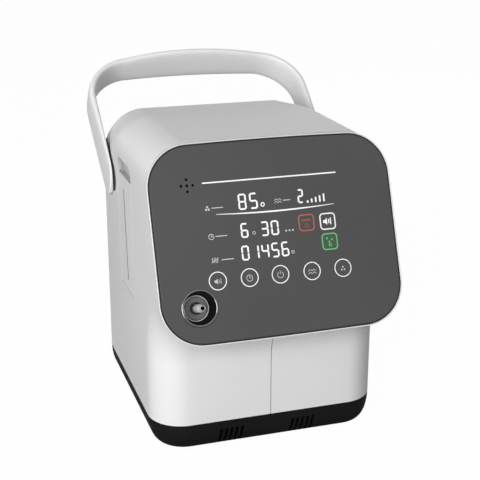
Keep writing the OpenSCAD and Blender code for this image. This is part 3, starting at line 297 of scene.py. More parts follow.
WHITE = surface("white_casing", grey(0.79), grey(0.82), rough=(0.34, 0.42), grain=1400, depth=0.01)
# The handle's white is the casing's white made lighter: painted light, for the brighter light the handle
# catches
LIT_HANDLE_WHITE = surface("handle_white_painted_light", grey(0.87), grey(0.90), rough=(0.36, 0.44), grain=1400, depth=0.01)
BASE_BLACK = surface("black_base", grey(0.004), grey(0.007), rough=(0.5, 0.65), grain=1600, depth=0.06,
                     specular=0.15)
RUBBER = surface("rubber", grey(0.015), grey(0.025), rough=(0.75, 0.9), grain=700, depth=0.05)
RIM = surface("pale_rim", grey(0.76), grey(0.81), rough=(0.22, 0.3), grain=1200, depth=0.01)
PANEL = surface("dark_panel", grey(0.068), grey(0.077), rough=(0.42, 0.5), grain=2000, depth=0.01,
                specular=0.3)
DARK_CHROME = surface("dark_chrome", grey(0.16), grey(0.20), rough=(0.08, 0.14), metallic=1.0, grain=300,
                      depth=0.01)
NOZZLE_STEEL = surface("nozzle_steel", grey(0.78), grey(0.86), rough=(0.24, 0.32), metallic=0.45, grain=300,
                       depth=0.01)
DISC_GREY = surface("disc_grey", grey(0.10), grey(0.13), rough=(0.12, 0.2), coat=0.6, grain=500, depth=0.01)
# Near-black painted shade, for the gaps round the panel's rim and beside the handle arms
SHADE_BLACK = surface("painted_shade_black", grey(0.012), grey(0.02), rough=(0.5, 0.6), grain=1500, depth=0.01,
                 specular=0.3)
BLACK = surface("black_plastic", grey(0.006), grey(0.012), rough=(0.35, 0.5), grain=1500, depth=0.03)
BOARD = surface("board", (0.01, 0.12, 0.04), (0.03, 0.2, 0.08), rough=(0.3, 0.45), patch=120)
BRASS = surface("brass", (0.6, 0.42, 0.15), (0.75, 0.55, 0.22), rough=(0.2, 0.35), metallic=1.0)
STEEL = surface("steel", grey(0.5), grey(0.62), rough=(0.25, 0.4), metallic=1.0)
BUSH = surface("bush_plastic", grey(0.06), grey(0.09), rough=(0.5, 0.6))
NOTCH_GREY = surface("notch_grey", grey(0.46), grey(0.52), rough=(0.5, 0.6))
# Grey for the slit's painted shade
SLIT_SHADE_GREY = surface("painted_slit_shade", grey(0.17), grey(0.21), rough=(0.5, 0.6))
GREY_PLASTIC = surface("grey_plastic", grey(0.30), grey(0.36), rough=(0.4, 0.55))
PAPER = surface("filter_paper", (0.8, 0.8, 0.77), (0.9, 0.9, 0.87), rough=(0.8, 0.95), grain=2500,
                depth=0.15)
IRON = surface("motor_iron", grey(0.2), grey(0.28), rough=(0.5, 0.7), grain=400, depth=0.1)
CAST = surface("cast_aluminium", grey(0.55), grey(0.66), rough=(0.4, 0.55), metallic=1.0, grain=500,
               depth=0.08)
VESSEL = surface("vessel", grey(0.6), grey(0.68), rough=(0.35, 0.45))
HOSE = surface("hose", grey(0.55), grey(0.62), rough=(0.3, 0.4))
# White and faint print carry a painted glow in their colour, which makes the marks brighter than the lamps
# light them
GLOWING_PRINT = surface("white_print_painted_glow", grey(0.80), grey(0.86), rough=(0.5, 0.6), patch=60, glow=0.25)
FAINT_GLOWING_PRINT = surface("faint_print_painted_glow", grey(0.52), grey(0.58), rough=(0.5, 0.6), patch=60, glow=0.1)
RED = surface("red_print", (0.34, 0.09, 0.07), (0.40, 0.11, 0.085), rough=(0.5, 0.6), patch=60, glow=0.2)
DIM_RED = surface("dim_red", (0.24, 0.08, 0.06), (0.28, 0.10, 0.07), rough=(0.5, 0.6), patch=60)
GREEN = surface("green_print", (0.12, 0.36, 0.16), (0.16, 0.42, 0.20), rough=(0.5, 0.6), patch=60, glow=0.2)
DIM_GREEN = surface("dim_green", (0.028, 0.08, 0.032), (0.036, 0.10, 0.04), rough=(0.5, 0.6), patch=60)

SLOT_LOOKS = {
    "white_casing": WHITE, "black_base": BASE_BLACK, "rubber": RUBBER, "pale_rim": RIM, "dark_panel": PANEL,
    "chrome": DARK_CHROME, "grey_disc": DISC_GREY, "black_plastic": BLACK, "board": BOARD, "brass": BRASS,
    "steel": STEEL, "bush_plastic": BUSH, "grey_plastic": GREY_PLASTIC, "filter_paper": PAPER,
    "motor_iron": IRON, "cast_aluminium": CAST, "vessel": VESSEL, "hose": HOSE,
}
for part in frame["record"]["subparts"]:
    node = frame["nodes"][part["node"]]
    node.data.materials.clear()
    node.data.materials.append(SLOT_LOOKS[part["material_slot"]])


# Mesh helpers

def add_mesh(name, points, faces, material, smooth=40):
    """A mesh object from points in millimetres, smooth but for edges over the given angle."""
    mesh = bpy.data.meshes.new(name)
    mesh.from_pydata([Vector(p) * MM for p in points], [], faces)
    mesh.validate()
    return add_object(name, mesh, material, smooth)


def add_object(name, mesh, material, smooth=40):
    """An object in the scene from a mesh, with one material."""
    obj = bpy.data.objects.new(name, mesh)
    bpy.context.scene.collection.objects.link(obj)
    mesh.materials.clear()
    mesh.materials.append(material)
    finish_shading(mesh, smooth)
    return obj


def finish_shading(mesh, smooth):
    """Smooth shading, but for edges over the given angle."""
    mesh.polygons.foreach_set("use_smooth", [True] * len(mesh.polygons))
    mesh.set_sharp_from_angle(angle=math.radians(smooth))
    mesh.update()


def applied(obj, smooth=40):
    """Replaces the object's mesh by the one its modifiers make."""
    graph = bpy.context.evaluated_depsgraph_get()
    mesh = bpy.data.meshes.new_from_object(obj.evaluated_get(graph))
    obj.modifiers.clear()
    obj.data = mesh
    finish_shading(mesh, smooth)
    return obj


def cut(obj, *cutters, smooth=40):
    """Cuts the cutters out of a closed mesh and deletes them."""
    for c in cutters:
        b = obj.modifiers.new("cut", "BOOLEAN")
        b.operation = "DIFFERENCE"
        b.solver = "EXACT"
        b.object = c
    applied(obj, smooth)
    for c in cutters:
        bpy.data.objects.remove(c)
    return obj


def plate(name, outlines, thickness, material, place, bevel=0.0, rise=0.0, smooth=40):
    """A flat plate from an outline and its holes, its edges rounded by bevel, its front face at rise."""
    curve = bpy.data.curves.new(name, "CURVE")
    curve.dimensions = "2D"
    curve.fill_mode = "BOTH"
    curve.extrude = (thickness / 2 - bevel) * MM
    curve.bevel_depth = bevel * MM
    curve.bevel_resolution = 2
    curve.offset = -bevel * MM
    for outline in outlines:
        spline = curve.splines.new("POLY")
        spline.points.add(len(outline) - 1)
        for p, (x, y) in zip(spline.points, outline):
            p.co = (x * MM, y * MM, 0, 1)
        spline.use_cyclic_u = True
    drawn = bpy.data.objects.new(name, curve)
    bpy.context.scene.collection.objects.link(drawn)
    graph = bpy.context.evaluated_depsgraph_get()
    mesh = bpy.data.meshes.new_from_object(drawn.evaluated_get(graph))
    bpy.data.objects.remove(drawn)
    mesh.transform(place @ Matrix.Translation((0, 0, (rise - thickness / 2) * MM)))
    return add_object(name, mesh, material, smooth)


def lathe(name, profile, material, place, sides=96, smooth=35):
    """A turned piece from (radius, height) points about the place's z axis."""
    points, faces = [], []
    count = len(profile)
    for i in range(sides):
        a = 2 * math.pi * i / sides
        points += [(r * math.cos(a), r * math.sin(a), z) for r, z in profile]
    for i in range(sides):
        j = (i + 1) % sides
        for k in range(count):
            n = (k + 1) % count
            faces.append((i * count + k, j * count + k, j * count + n, i * count + n))
    mesh = bpy.data.meshes.new(name)
    mesh.from_pydata([Vector(p) * MM for p in points], [], faces)
    mesh.transform(place)
    return add_object(name, mesh, material, smooth)


def joined(name, objects, material):
    """One object from several that share a material."""
    points, faces = [], []
    for o in objects:
        start = len(points)
        points += [v.co.copy() for v in o.data.vertices]
        faces += [[start + i for i in p.vertices] for p in o.data.polygons]
        bpy.data.objects.remove(o)
    mesh = bpy.data.meshes.new(name)
    mesh.from_pydata(points, [], faces)
    return add_object(name, mesh, material)


def arc(cx, cy, r, a0, a1, steps):
    """Points on an arc, angles in degrees."""
    angles = [math.radians(a0 + (a1 - a0) * i / steps) for i in range(steps + 1)]
    return [(cx + r * math.cos(a), cy + r * math.sin(a)) for a in angles]


def circle(cx, cy, r, steps=48):
    return arc(cx, cy, r, 0, 360, steps)[:-1]


def round_rect(cx, cy, w, h, r, steps=10):
    x, y = w / 2 - r, h / 2 - r
    return (arc(cx + x, cy + y, r, 0, 90, steps) + arc(cx - x, cy + y, r, 90, 180, steps)
            + arc(cx - x, cy - y, r, 180, 270, steps) + arc(cx + x, cy - y, r, 270, 360, steps))


def axes(x, y, z, origin):
    """A place from its three axes and its origin in millimetres."""
    m = Matrix((x, y, z)).transposed().to_4x4()
    m.translation = Vector(origin) * MM
    return m


# Places

PANEL_N = Vector((0, -math.cos(PANEL_TILT), math.sin(PANEL_TILT)))
PANEL_V = Vector((0, math.sin(PANEL_TILT), math.cos(PANEL_TILT)))
PANEL_MID = Vector((0, *PANEL_BOTTOM)) + PANEL_V * PANEL_H / 2
ON_PANEL = axes((1, 0, 0), PANEL_V, PANEL_N, PANEL_MID)
ON_OUTLET = ON_PANEL @ Matrix.Translation((OUTLET[0] * MM, OUTLET[1] * MM, 0))
LEFT_SIDE = axes((0, 1, 0), (0, 0, 1), (1, 0, 0), (-HALF_W, 0, 0))
REAR_SIDE = axes((-1, 0, 0), (0, 0, 1), (0, 1, 0), (0, REAR_Y, 0))


# Casing: a half ring swept from the base, up the lower front and round under the chin to the panel

def roof_z(y):
    """Height of the roof, which slopes down toward the back."""
    past = max(0.0, y - (REAR_Y - REAR_SLOPE_LEN))
    return TOP_Z - REAR_SLOPE * past / REAR_SLOPE_LEN


def half_width(y, z):
    """How far the casing reaches sideways under its roof, whose corners are rounder toward the back."""
    share = (y - ROOF_ROUND_Y[0]) / (ROOF_ROUND_Y[1] - ROOF_ROUND_Y[0])
    share = min(max(share, 0.0), 1.0)
    r = HEAD_R + (ROOF_R - HEAD_R) * share * share * (3 - 2 * share)
    up = min(max(z - roof_z(y) + r, 0.0), r)
    return HALF_W - r + math.sqrt(r * r - up * up)


def rear_path():
    """The back and the top of the casing, seen from the side, from the chin's height to the panel."""
    edge = Vector((REAR_Y - REAR_EDGE_R, TOP_Z - REAR_SLOPE - REAR_EDGE_R))
    path = [Vector((REAR_Y, PANEL_BOTTOM[1] - CHIN_R)), Vector((REAR_Y, edge.y))]
    path += [Vector(p) for p in arc(edge.x, edge.y, REAR_EDGE_R, 0, REAR_EDGE_TURN, 10)[1:]]
    path.append(Vector((REAR_Y - REAR_SLOPE_LEN, TOP_Z)))
    start = Vector((FRONT_Y - CHIN_R, PANEL_BOTTOM[1]))
    lean = math.tan(PANEL_TILT)
    path.append(Vector((start.x + (TOP_Z - start.y) * lean, TOP_Z)))
    return path


def along(path, share):
    """The point at a share of a path's length, and the path's outward normal there."""
    lengths = [(b - a).length for a, b in zip(path, path[1:])]
    left = share * sum(lengths)
    for (a, b), length in zip(zip(path, path[1:]), lengths):
        if left <= length + 1e-9:
            d = (b - a).normalized()
            return a + d * left, Vector((d.y, -d.x))
        left -= length
    return path[-1], Vector((0, 1))


def half_ring(front, rear, front_r, rear_r, front_depth, rear_depth, side):
    """Points of one section from the front's middle round one side to the rear's middle."""
    length = (rear - front).length
    d = (rear - front) / length

    def reach(s):
        return half_width(front.x + d.x * s, front.y + d.y * s)

    line = [((HALF_W - front_r) * i / MIDDLE_STEPS, 0) for i in range(MIDDLE_STEPS)]
    quarter = [math.pi / 2 * i / CORNER_STEPS for i in range(CORNER_STEPS + 1)]
    line += [(HALF_W - front_r + front_r * math.sin(a), front_depth * (1 - math.cos(a))) for a in quarter]
    end = length - rear_depth
    bend = next((s for s in range(int(front_depth) + 1, int(end)) if reach(s) < HALF_W), end)
    bend = min(bend, end - LEAST_BEND)
    on_side = [front_depth + (bend - front_depth) * i / SIDE_STEPS for i in range(1, SIDE_STEPS + 1)]
    rounds = [math.pi / 2 * i / ROOF_STEPS for i in range(1, ROOF_STEPS + 1)]
    on_round = [bend + (end - bend) * math.sin(a) for a in rounds]
    line += [(reach(s), s) for s in on_side + on_round]
    start = reach(end)
    knee = start + (start - reach(end - SLOPE_STEP)) / SLOPE_STEP * rear_depth
    last = knee - rear_r
    for i in range(1, REAR_STEPS + 1):
        t = i / REAR_STEPS
        x = (1 - t) ** 2 * start + 2 * t * (1 - t) * knee + t * t * last
        line.append((x, end + (1 - (1 - t) ** 2) * rear_depth))
    line += [(last * (1 - i / MIDDLE_STEPS), length) for i in range(1, MIDDLE_STEPS + 1)]
    return [(side * x, front.x + d.x * s, front.y + d.y * s) for x, s in line]


def fan_shares():
    """Shares of the fan of sections, closer together where they pass the roof's rear edge."""
    back = TOP_Z - REAR_SLOPE - REAR_EDGE_R - PANEL_BOTTOM[1] + CHIN_R
    path = rear_path()
    length = sum((b - a).length for a, b in zip(path, path[1:]))
    edge = (back / length, (back + REAR_EDGE_R * math.pi / 2) / length)
    even = [i / FAN_STEPS for i in range(FAN_STEPS + 1)]
    close = [edge[0] + (edge[1] - edge[0]) * i / EDGE_STEPS for i in range(EDGE_STEPS + 1)]
    return sorted([t for t in even if not edge[0] - EDGE_CLEAR < t < edge[1] + EDGE_CLEAR] + close)


def rear_round(rear):
    """Radius of the casing's rear corner at a point of the rear path, small where the roof is round."""
    roof_low = TOP_Z - REAR_SLOPE - ROOF_R
    share = min(max((rear.y - roof_low) / (ROOF_R - REAR_EDGE_R), 0.0), 1.0)
    on_back = REAR_CORNER_R + (EDGE_ROUND - REAR_CORNER_R) * share
    return on_back if rear.x > REAR_Y - REAR_EDGE_R / 2 else ROOF_BLEND


def casing_rings(side):
    """Sections of one half: level ones up to the chin, then a fan round the chin's middle."""
    rings = []
    chin_z = PANEL_BOTTOM[1] - CHIN_R
    for i in range(LOW_STEPS):
        z = BASE_TOP_Z + (chin_z - BASE_TOP_Z) * i / LOW_STEPS
        rings.append(half_ring(Vector((FRONT_Y, z)), Vector((REAR_Y, z)), FRONT_CORNER_R, REAR_CORNER_R,
                               FRONT_CORNER_R, REAR_CORNER_R, side))
    path = rear_path()
    for t in fan_shares():
        a = t * math.pi / 2
        toward = Vector((-math.cos(a), -math.sin(a)))
        front = Vector((FRONT_Y - CHIN_R, chin_z)) - toward * CHIN_R
        rear, rear_n = along(path, t)
        d = (rear - front).normalized()
        ease = t * t * (3 - 2 * t)
        front_r = FRONT_CORNER_R + (HEAD_R - FRONT_CORNER_R) * ease
        rear_r = rear_round(rear)
        rings.append(half_ring(front, rear, front_r, rear_r, front_r / max(-d.dot(toward), SLANT_LIMIT),
                               rear_r / max(d.dot(rear_n), SLANT_LIMIT), side))
    return rings


def casing_half(name, side):
    """One half of the casing as a skin of even thickness."""
    rings = casing_rings(side)
    count = len(rings[0])
    points = [p for r in rings for p in r]
    faces = []
    for i in range(len(rings) - 1):
        for k in range(count - 1):
            quad = (i * count + k, i * count + k + 1, (i + 1) * count + k + 1, (i + 1) * count + k)
            faces.append(quad if side > 0 else quad[::-1])
    half = add_mesh(name, points, faces, WHITE, smooth=60)
    thick = half.modifiers.new("thickness", "SOLIDIFY")
    thick.thickness = SKIN_T * MM
    thick.offset = -1
    return applied(half, smooth=60)


def door_outline(grow, low, top):
    """The filter door's outline, seen from the left, with wider or narrower sides."""
    y0, y1 = DOOR_Y[0] - grow, DOOR_Y[1] + grow
    return [(y1, top), (y0, top), (y0, low), (y1, low)]


def notch_arch(grow, low):
    """The finger notch's round top from its rear foot to its front foot, both at the given height."""
    front_r, rear_r = NOTCH_R
    y0, y1 = DOOR_Y[0] - grow, DOOR_Y[1] + grow
    high = NOTCH_TOP_Z + grow
    rear = arc(y1 - rear_r, high - rear_r, rear_r, 0, 90, 10)
    front = arc(y0 + front_r, high - front_r, front_r, 90, 180, 10)
    return [(y1, low)] + rear + front + [(y0, low)]


def side_cutter(outline, place):
    """A plate that cuts an outline right through the casing's skin."""
    return plate("cut", [outline], CUT_DEPTH, WHITE, place, rise=CUT_DEPTH / 2)


def rear_cutter():
    """The opening for the rear panel, from the panel's own box."""
    low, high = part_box("rear_panel")
    w = (high[0] - low[0]) / MM + 2 * REAR_PANEL_GAP
    h = (high[2] - low[2]) / MM + 2 * REAR_PANEL_GAP
    return side_cutter(round_rect(0, (low[2] + high[2]) / 2 / MM, w, h, REAR_PANEL_R), REAR_SIDE)


def bush_cutter(side):
    place = axes((0, 1, 0), (0, 0, 1), (1, 0, 0), (side * HALF_W, *PIVOT))
    return side_cutter(circle(0, 0, BUSH_HOLE_R), place)


def seam_cutter():
    """A narrow groove up the middle of the lower front and round under the chin to the panel."""
    chin = (FRONT_Y - CHIN_R, PANEL_BOTTOM[1] - CHIN_R)
    inside = arc(*chin, CHIN_R + SEAM_DEPTH, 0, SEAM_TURN, 16)
    outside = arc(*chin, CHIN_R - SEAM_OUT, SEAM_TURN, 0, 16)
    low = BASE_TOP_Z - CUT_LAP
    outline = [(FRONT_Y - SEAM_OUT, low), (FRONT_Y + SEAM_DEPTH, low)] + inside + outside
    place = axes((0, 1, 0), (0, 0, 1), (1, 0, 0), (0, 0, 0))
    return plate("cut", [outline], SEAM_W, WHITE, place, rise=SEAM_W / 2)


left_skin = casing_half("left_casing", -1)
door_hole = door_outline(DOOR_GAP, DOOR_BOTTOM_Z - DOOR_GAP, DOOR_TOP_Z + CUT_LAP)
notch_hole = notch_arch(0, DOOR_TOP_Z - 2 * CUT_LAP)
cut(left_skin, side_cutter(door_hole, LEFT_SIDE), side_cutter(notch_hole, LEFT_SIDE),
    rear_cutter(), bush_cutter(-1), seam_cutter(), smooth=50)
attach(left_skin, "casing")
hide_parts("left_shell")
right_skin = casing_half("right_casing", 1)
cut(right_skin, rear_cutter(), bush_cutter(1), seam_cutter(), smooth=50)
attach(right_skin, "casing")
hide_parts("right_shell")


# Painted shadow beside each handle arm: a dark strip that rides with the arm just off the casing's side,
# along its front edge and round its end, for the shade in the gap between arm and casing

def shadow_end(centre, off):
    """One line of the painted shadow round the arm's end, drawn in so that the shadow runs out to a point.
    """
    front = math.pi - HANDLE_LEAN
    line = []
    for i in range(ARM_SHADOW_END_STEPS + 1):
        share = i / ARM_SHADOW_END_STEPS
        a = front + math.radians(ARM_SHADOW_TURN) * share
        r = off - (off - ARM_SHADOW[0]) * ARM_SHADOW_POINT * share ** 4
        line.append((centre.x + r * math.cos(a), centre.y + r * math.sin(a)))
    return line


def arm_shadow(name, side):
    """The painted shadow beside one arm: lines down its front edge and round its end, made one dark strip.
    """
    up = Vector((math.sin(HANDLE_LEAN), math.cos(HANDLE_LEAN)))
    across = Vector((-math.cos(HANDLE_LEAN), math.sin(HANDLE_LEAN)))
    centre = Vector(PIVOT) - up * ARM_SHADOW_DOWN
    heights = [ARM_SHADOW_UP * (1 - k / ARM_SHADOW_RISE_STEPS) for k in range(ARM_SHADOW_RISE_STEPS)]
    lines = []
    for i in range(ARM_SHADOW_LINES):
        off = ARM_SHADOW[0] + (ARM_SHADOW[1] - ARM_SHADOW[0]) * i / (ARM_SHADOW_LINES - 1)
        rise = [centre + up * h + across * (off - ARM_SHADOW_CURVE * h * h) for h in heights]
        lines.append([tuple(p) for p in rise] + shadow_end(centre, off))
    x = side * (HALF_W + ARM_SHADOW_GAP + ARM_SHADOW_T)
    points = [(x, y, z) for line in lines for y, z in line]
    count = len(lines[0])
    faces = []
    for i in range(len(lines) - 1):
        for k in range(count - 1):
            quad = (i * count + k, i * count + k + 1, (i + 1) * count + k + 1, (i + 1) * count + k)
            faces.append(quad if side < 0 else quad[::-1])
    shadow_strip = add_mesh(name, points, faces, SHADE_BLACK)
    thick = shadow_strip.modifiers.new("thickness", "SOLIDIFY")
    thick.thickness = ARM_SHADOW_T * MM
    thick.offset = -1
    applied(shadow_strip)
    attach(shadow_strip, "handle")


arm_shadow("left_arm_shadow", -1)
arm_shadow("right_arm_shadow", 1)


# Filter door

def slit_outline():
    """The leaning slit in the filter door."""
    low, high = SLIT_Y
    half = SLIT_W / 2
    z0, z1 = SLIT_Z
    return [(low - half, z0), (low + half, z0), (high + half, z1), (high - half, z1)]


leaf = plate("door_leaf", [door_outline(0, HINGE_Z, DOOR_TOP_Z)], DOOR_T, WHITE, LEFT_SIDE,
             bevel=DOOR_BEVEL, rise=DOOR_T)
ON_HINGE = axes((0, 0, 1), (1, 0, 0), (0, 1, 0), (HINGE_X, 0, HINGE_Z))
rod_section = [(AXIS_R, DOOR_Y[0]), (HINGE_R, DOOR_Y[0]), (HINGE_R, DOOR_Y[1]), (AXIS_R, DOOR_Y[1])]
rod = lathe("door_rod", rod_section, WHITE, ON_HINGE, sides=40)
door = joined("filter_door_skin", [leaf, rod], WHITE)
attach(door, "filter_door")
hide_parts("filter_cover")
# The slit is not cut: a grey stripe on the door paints the shade inside it
slit_shade = plate("door_slit_shade", [slit_outline()], SLIT_T, SLIT_SHADE_GREY, LEFT_SIDE, rise=SLIT_T - SLIT_PROUD)
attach(slit_shade, "filter_door")
arch = notch_arch(NOTCH_WALL, DOOR_TOP_Z + DOOR_GAP) + notch_arch(-NOTCH_LAP, DOOR_TOP_Z + DOOR_GAP)[::-1]
wall = plate("notch_wall", [arch], NOTCH_DEPTH - NOTCH_LIP, NOTCH_GREY, LEFT_SIDE, rise=NOTCH_DEPTH)
door_w = DOOR_Y[1] - DOOR_Y[0]
ledge_outline = round_rect(sum(DOOR_Y) / 2, DOOR_TOP_Z - LEDGE_H / 2, door_w, LEDGE_H, LEDGE_R, 2)
ledge = plate("notch_ledge", [ledge_outline], NOTCH_DEPTH - DOOR_T - LEDGE_GAP, NOTCH_GREY, LEFT_SIDE,
              rise=NOTCH_DEPTH)
notch_floor = plate("notch_floor", [notch_arch(NOTCH_WALL, DOOR_TOP_Z - NOTCH_FLOOR_DOWN)], NOTCH_FLOOR_T,
                    NOTCH_GREY, LEFT_SIDE, rise=NOTCH_DEPTH + NOTCH_FLOOR_T)
notch_back = joined("notch_back", [wall, ledge, notch_floor], NOTCH_GREY)
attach(notch_back, "casing")


# Base tray: a bowl whose sides curve in under the casing

def base_outline(side_in, end_in):
    """One level of the bowl, pulled in at the sides and at the two ends."""
    x, y0, y1 = HALF_W - side_in, FRONT_Y + end_in, REAR_Y - end_in
    least = min(side_in, end_in)
    front_r = FRONT_CORNER_R - least
    rear_r = max(REAR_CORNER_R - least, BASE_REAR_R)
    rear = arc(x - rear_r, y1 - rear_r, rear_r, 0, 90, 8)
    rear += arc(-x + rear_r, y1 - rear_r, rear_r, 90, 180, 8)
    front = arc(-x + front_r, y0 + front_r, front_r, 180, 270, 16)
    front += arc(x - front_r, y0 + front_r, front_r, 270, 360, 16)
    return rear + front


def base_bowl():
    """The closed bowl, from its upper edge down to its flat bottom."""
    points, faces = [], []
    depth = BASE_TOP_Z - BASE_BOTTOM_Z
    for i in range(BOWL_LEVELS + 1):
        a = math.pi / 2 * i / BOWL_LEVELS
        z = BASE_TOP_Z - depth * math.sin(a)
        low = max(0.0, BASE_BOTTOM_Z + BASE_EDGE_R - z)
        end_in = BASE_EDGE_R - math.sqrt(BASE_EDGE_R ** 2 - low ** 2)
        outline = base_outline(BASE_SIDE_IN * (1 - math.cos(a)), end_in)
        points += [(x, y, z) for x, y in outline]
    count = len(points) // (BOWL_LEVELS + 1)
    for i in range(BOWL_LEVELS):
        for k in range(count):
            n = (k + 1) % count
            faces.append((i * count + n, i * count + k, (i + 1) * count + k, (i + 1) * count + n))
    faces.append(tuple(range(count)))
    faces.append(tuple(range(BOWL_LEVELS * count, (BOWL_LEVELS + 1) * count))[::-1])
    return add_mesh("base_bowl", points, faces, BASE_BLACK)


def vent_cutter(x):
    """One leaning slot in the front of the bowl."""
    z0, z1 = VENT_Z
    half = VENT_W / 2
    shift = (z1 - z0) * VENT_LEAN
    outline = [(x - half, z0), (x + half, z0), (x + half + shift, z1), (x - half + shift, z1)]
    place = axes((1, 0, 0), (0, 0, 1), (0, -1, 0), (0, FRONT_Y, 0))
    return plate("cut", [outline], VENT_CUT, BASE_BLACK, place, rise=VENT_CUT_OUT)


def screw_hole_cutter(x, y):
    place = axes((1, 0, 0), (0, 1, 0), (0, 0, 1), (x, y, SCREW_SEAT_Z))
    return plate("cut", [circle(0, 0, SCREW_HOLE_R, 24)], SCREW_SEAT_Z + SCREW_CUT_OUT, BASE_BLACK, place)


vent_steps = [(i - (VENT_COUNT - 1) / 2) * VENT_PITCH for i in range(VENT_COUNT)]
vents = [vent_cutter(x + step) for x in VENT_X for step in vent_steps]
screw_holes = [screw_hole_cutter(side * x, y) for side in (-1, 1) for x, y in SCREW_AT]
bowl = cut(base_bowl(), *vents, *screw_holes)
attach(bowl, "casing")
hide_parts("base_tray")


# Control panel and its rim

def panel_outline(grow):
    """The panel's outline with its slightly bowed upper and lower edges."""
    outline = round_rect(0, 0, PANEL_W + 2 * grow, PANEL_H + 2 * grow, PANEL_R + grow, 16)
    fine = []
    for (x0, y0), (x1, y1) in zip(outline, outline[1:] + outline[:1]):
        steps = max(1, int(math.hypot(x1 - x0, y1 - y0) / PANEL_FINE))
        fine += [(x0 + (x1 - x0) * i / steps, y0 + (y1 - y0) * i / steps) for i in range(steps)]
    reach = PANEL_W / 2 + grow
    bowed = []
    for x, y in fine:
        share = y / (PANEL_H / 2)
        bow = PANEL_TOP_BOW if share > 0 else PANEL_BOTTOM_BOW
        bowed.append((x, y + bow * share * (1 - (x / reach) ** 2)))
    return bowed


CROSS = ((0, 0), (1, 0), (-1, 0), (0, 1), (0, -1))
panel_cuts = [circle(*OUTLET, CUP_MOUTH_R + CUP_WALL, 64)]
panel_cuts += [circle(SPEAKER[0] + dx * SPEAKER_PITCH, SPEAKER[1] + dy * SPEAKER_PITCH, SPEAKER_HOLE_R, 20)
               for dx, dy in CROSS]
panel = plate("panel_plate", [panel_outline(-PANEL_EDGE)] + panel_cuts, PANEL_T, PANEL, ON_PANEL,
              bevel=PANEL_BEVEL)
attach(panel, "casing")
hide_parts("control_panel")
# A shallow groove round the panel, painted near black for the shade in the gap between rim and panel
groove_shade = plate("panel_groove_shade", [panel_outline(-RIM_LAP), panel_outline(-PANEL_EDGE - GROOVE_LAP)], GROOVE_T,
               SHADE_BLACK, ON_PANEL, rise=-GROOVE_SUNK)
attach(groove_shade, "casing")
rim = plate("panel_rim", [panel_outline(RIM_W), panel_outline(-RIM_LAP)], RIM_DEPTH, RIM, ON_PANEL,
            bevel=RIM_BEVEL, rise=-RIM_SUNK)
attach(rim, "casing")
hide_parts("bezel_frame")
# A near-black sheet behind the rim: painted shade for the gap inside the casing's front edge
gap_shade = plate("rim_gap_shade", [panel_outline(-inset) for inset in GAP_SHADE_IN], GAP_SHADE_DEPTH, SHADE_BLACK, ON_PANEL,
              rise=-RIM_DEPTH)
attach(gap_shade, "casing")


# Oxygen outlet

def outlet_piece(name, profile, material, node):
    piece = lathe(name, profile, material, ON_OUTLET)
    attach(piece, "casing")
    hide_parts(node)
    return piece


def round_section(r, z, half_w, half_h, steps=20):
    """A round section about a radius and a height."""
    angles = [2 * math.pi * i / steps for i in range(steps)]
    return [(r + half_w * math.cos(a), z + half_h * math.sin(a)) for a in angles]


trim_section = round_section(CUP_MOUTH_R + RING_HALF, 0.1, RING_HALF, RING_RISE)
outlet_piece("outlet_trim", trim_section, DARK_CHROME, "outlet_ring")

well_section = [(CUP_MOUTH_R + CUP_LIP, -0.4), (CUP_MOUTH_R + 0.3, 0.0), (CUP_MOUTH_R, -0.4)]
well_section += [(CUP_FLOOR_R + 0.2, -CUP_DEPTH), (CUP_HOLE_R, -CUP_DEPTH)]
well_section += [(CUP_HOLE_R, -CUP_DEPTH - CUP_WALL), (CUP_FLOOR_R + CUP_WALL, -CUP_DEPTH - CUP_WALL)]
well_section += [(CUP_MOUTH_R + CUP_LIP, -PANEL_T)]
outlet_piece("outlet_well", well_section, BASE_BLACK, "outlet_cup")

disc_section = [(CUP_HOLE_R, -CUP_DEPTH), (DISC_R, -CUP_DEPTH), (DISC_R, FLOOR_N + 0.1)]
disc_section += [(DISC_R - 0.3, FLOOR_N + 0.6), (DISC_R - 0.8, FLOOR_N + 0.75)]
disc_section += [(DISC_R - 1.3, FLOOR_N + 0.55), (DISC_R - 1.8, FLOOR_N), (CUP_HOLE_R, FLOOR_N)]
outlet_piece("outlet_floor", disc_section, DISC_GREY, "outlet_disc")

edge_section = round_section(DISC_R - 0.5, FLOOR_N + 0.6, 0.5, 0.5)
disc_edge = lathe("disc_edge", edge_section, NOZZLE_STEEL, ON_OUTLET)
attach(disc_edge, "casing")

outlet_piece("outlet_seal", round_section(GASKET_R, FLOOR_N + 0.8, *GASKET_HALF), RUBBER, "outlet_gasket")

shank = [(BORE, SHANK_END), (SHANK_R, SHANK_END), (SHANK_R, FLOOR_N + 1.8)]
barrel = [(BARREL, FLOOR_N + 1.9), (BARREL, TIP - 7.2), (BARREL - 0.4, TIP - 6.6)]
neck = [(NECK + 0.2, TIP - 5.2), (NECK, TIP - 4.8), (NECK, TIP - 2.8), (NECK + 0.15, TIP - 2.5)]
tip = [(2.6, TIP - 1.9), (2.7, TIP - 1.5), (2.4, TIP - 0.1), (2.3, TIP), (2.1, TIP), (BORE, TIP - 0.4)]
outlet_piece("outlet_spout", shank + barrel + neck + tip, NOZZLE_STEEL, "outlet_nozzle")

# A black sleeve inside the nozzle's bore: painted shade, so the hole reads dark
bore_section = [(BORE + 0.1, TIP - 0.5), (BORE + 0.1, BORE_END)]
bore_section += [(BORE - 0.2, BORE_END), (BORE - 0.2, TIP - 0.7)]
bore_shade = lathe("outlet_bore_shade", bore_section, BLACK, ON_OUTLET)
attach(bore_shade, "casing")


# Handle: a flat oval strap swept round the bail

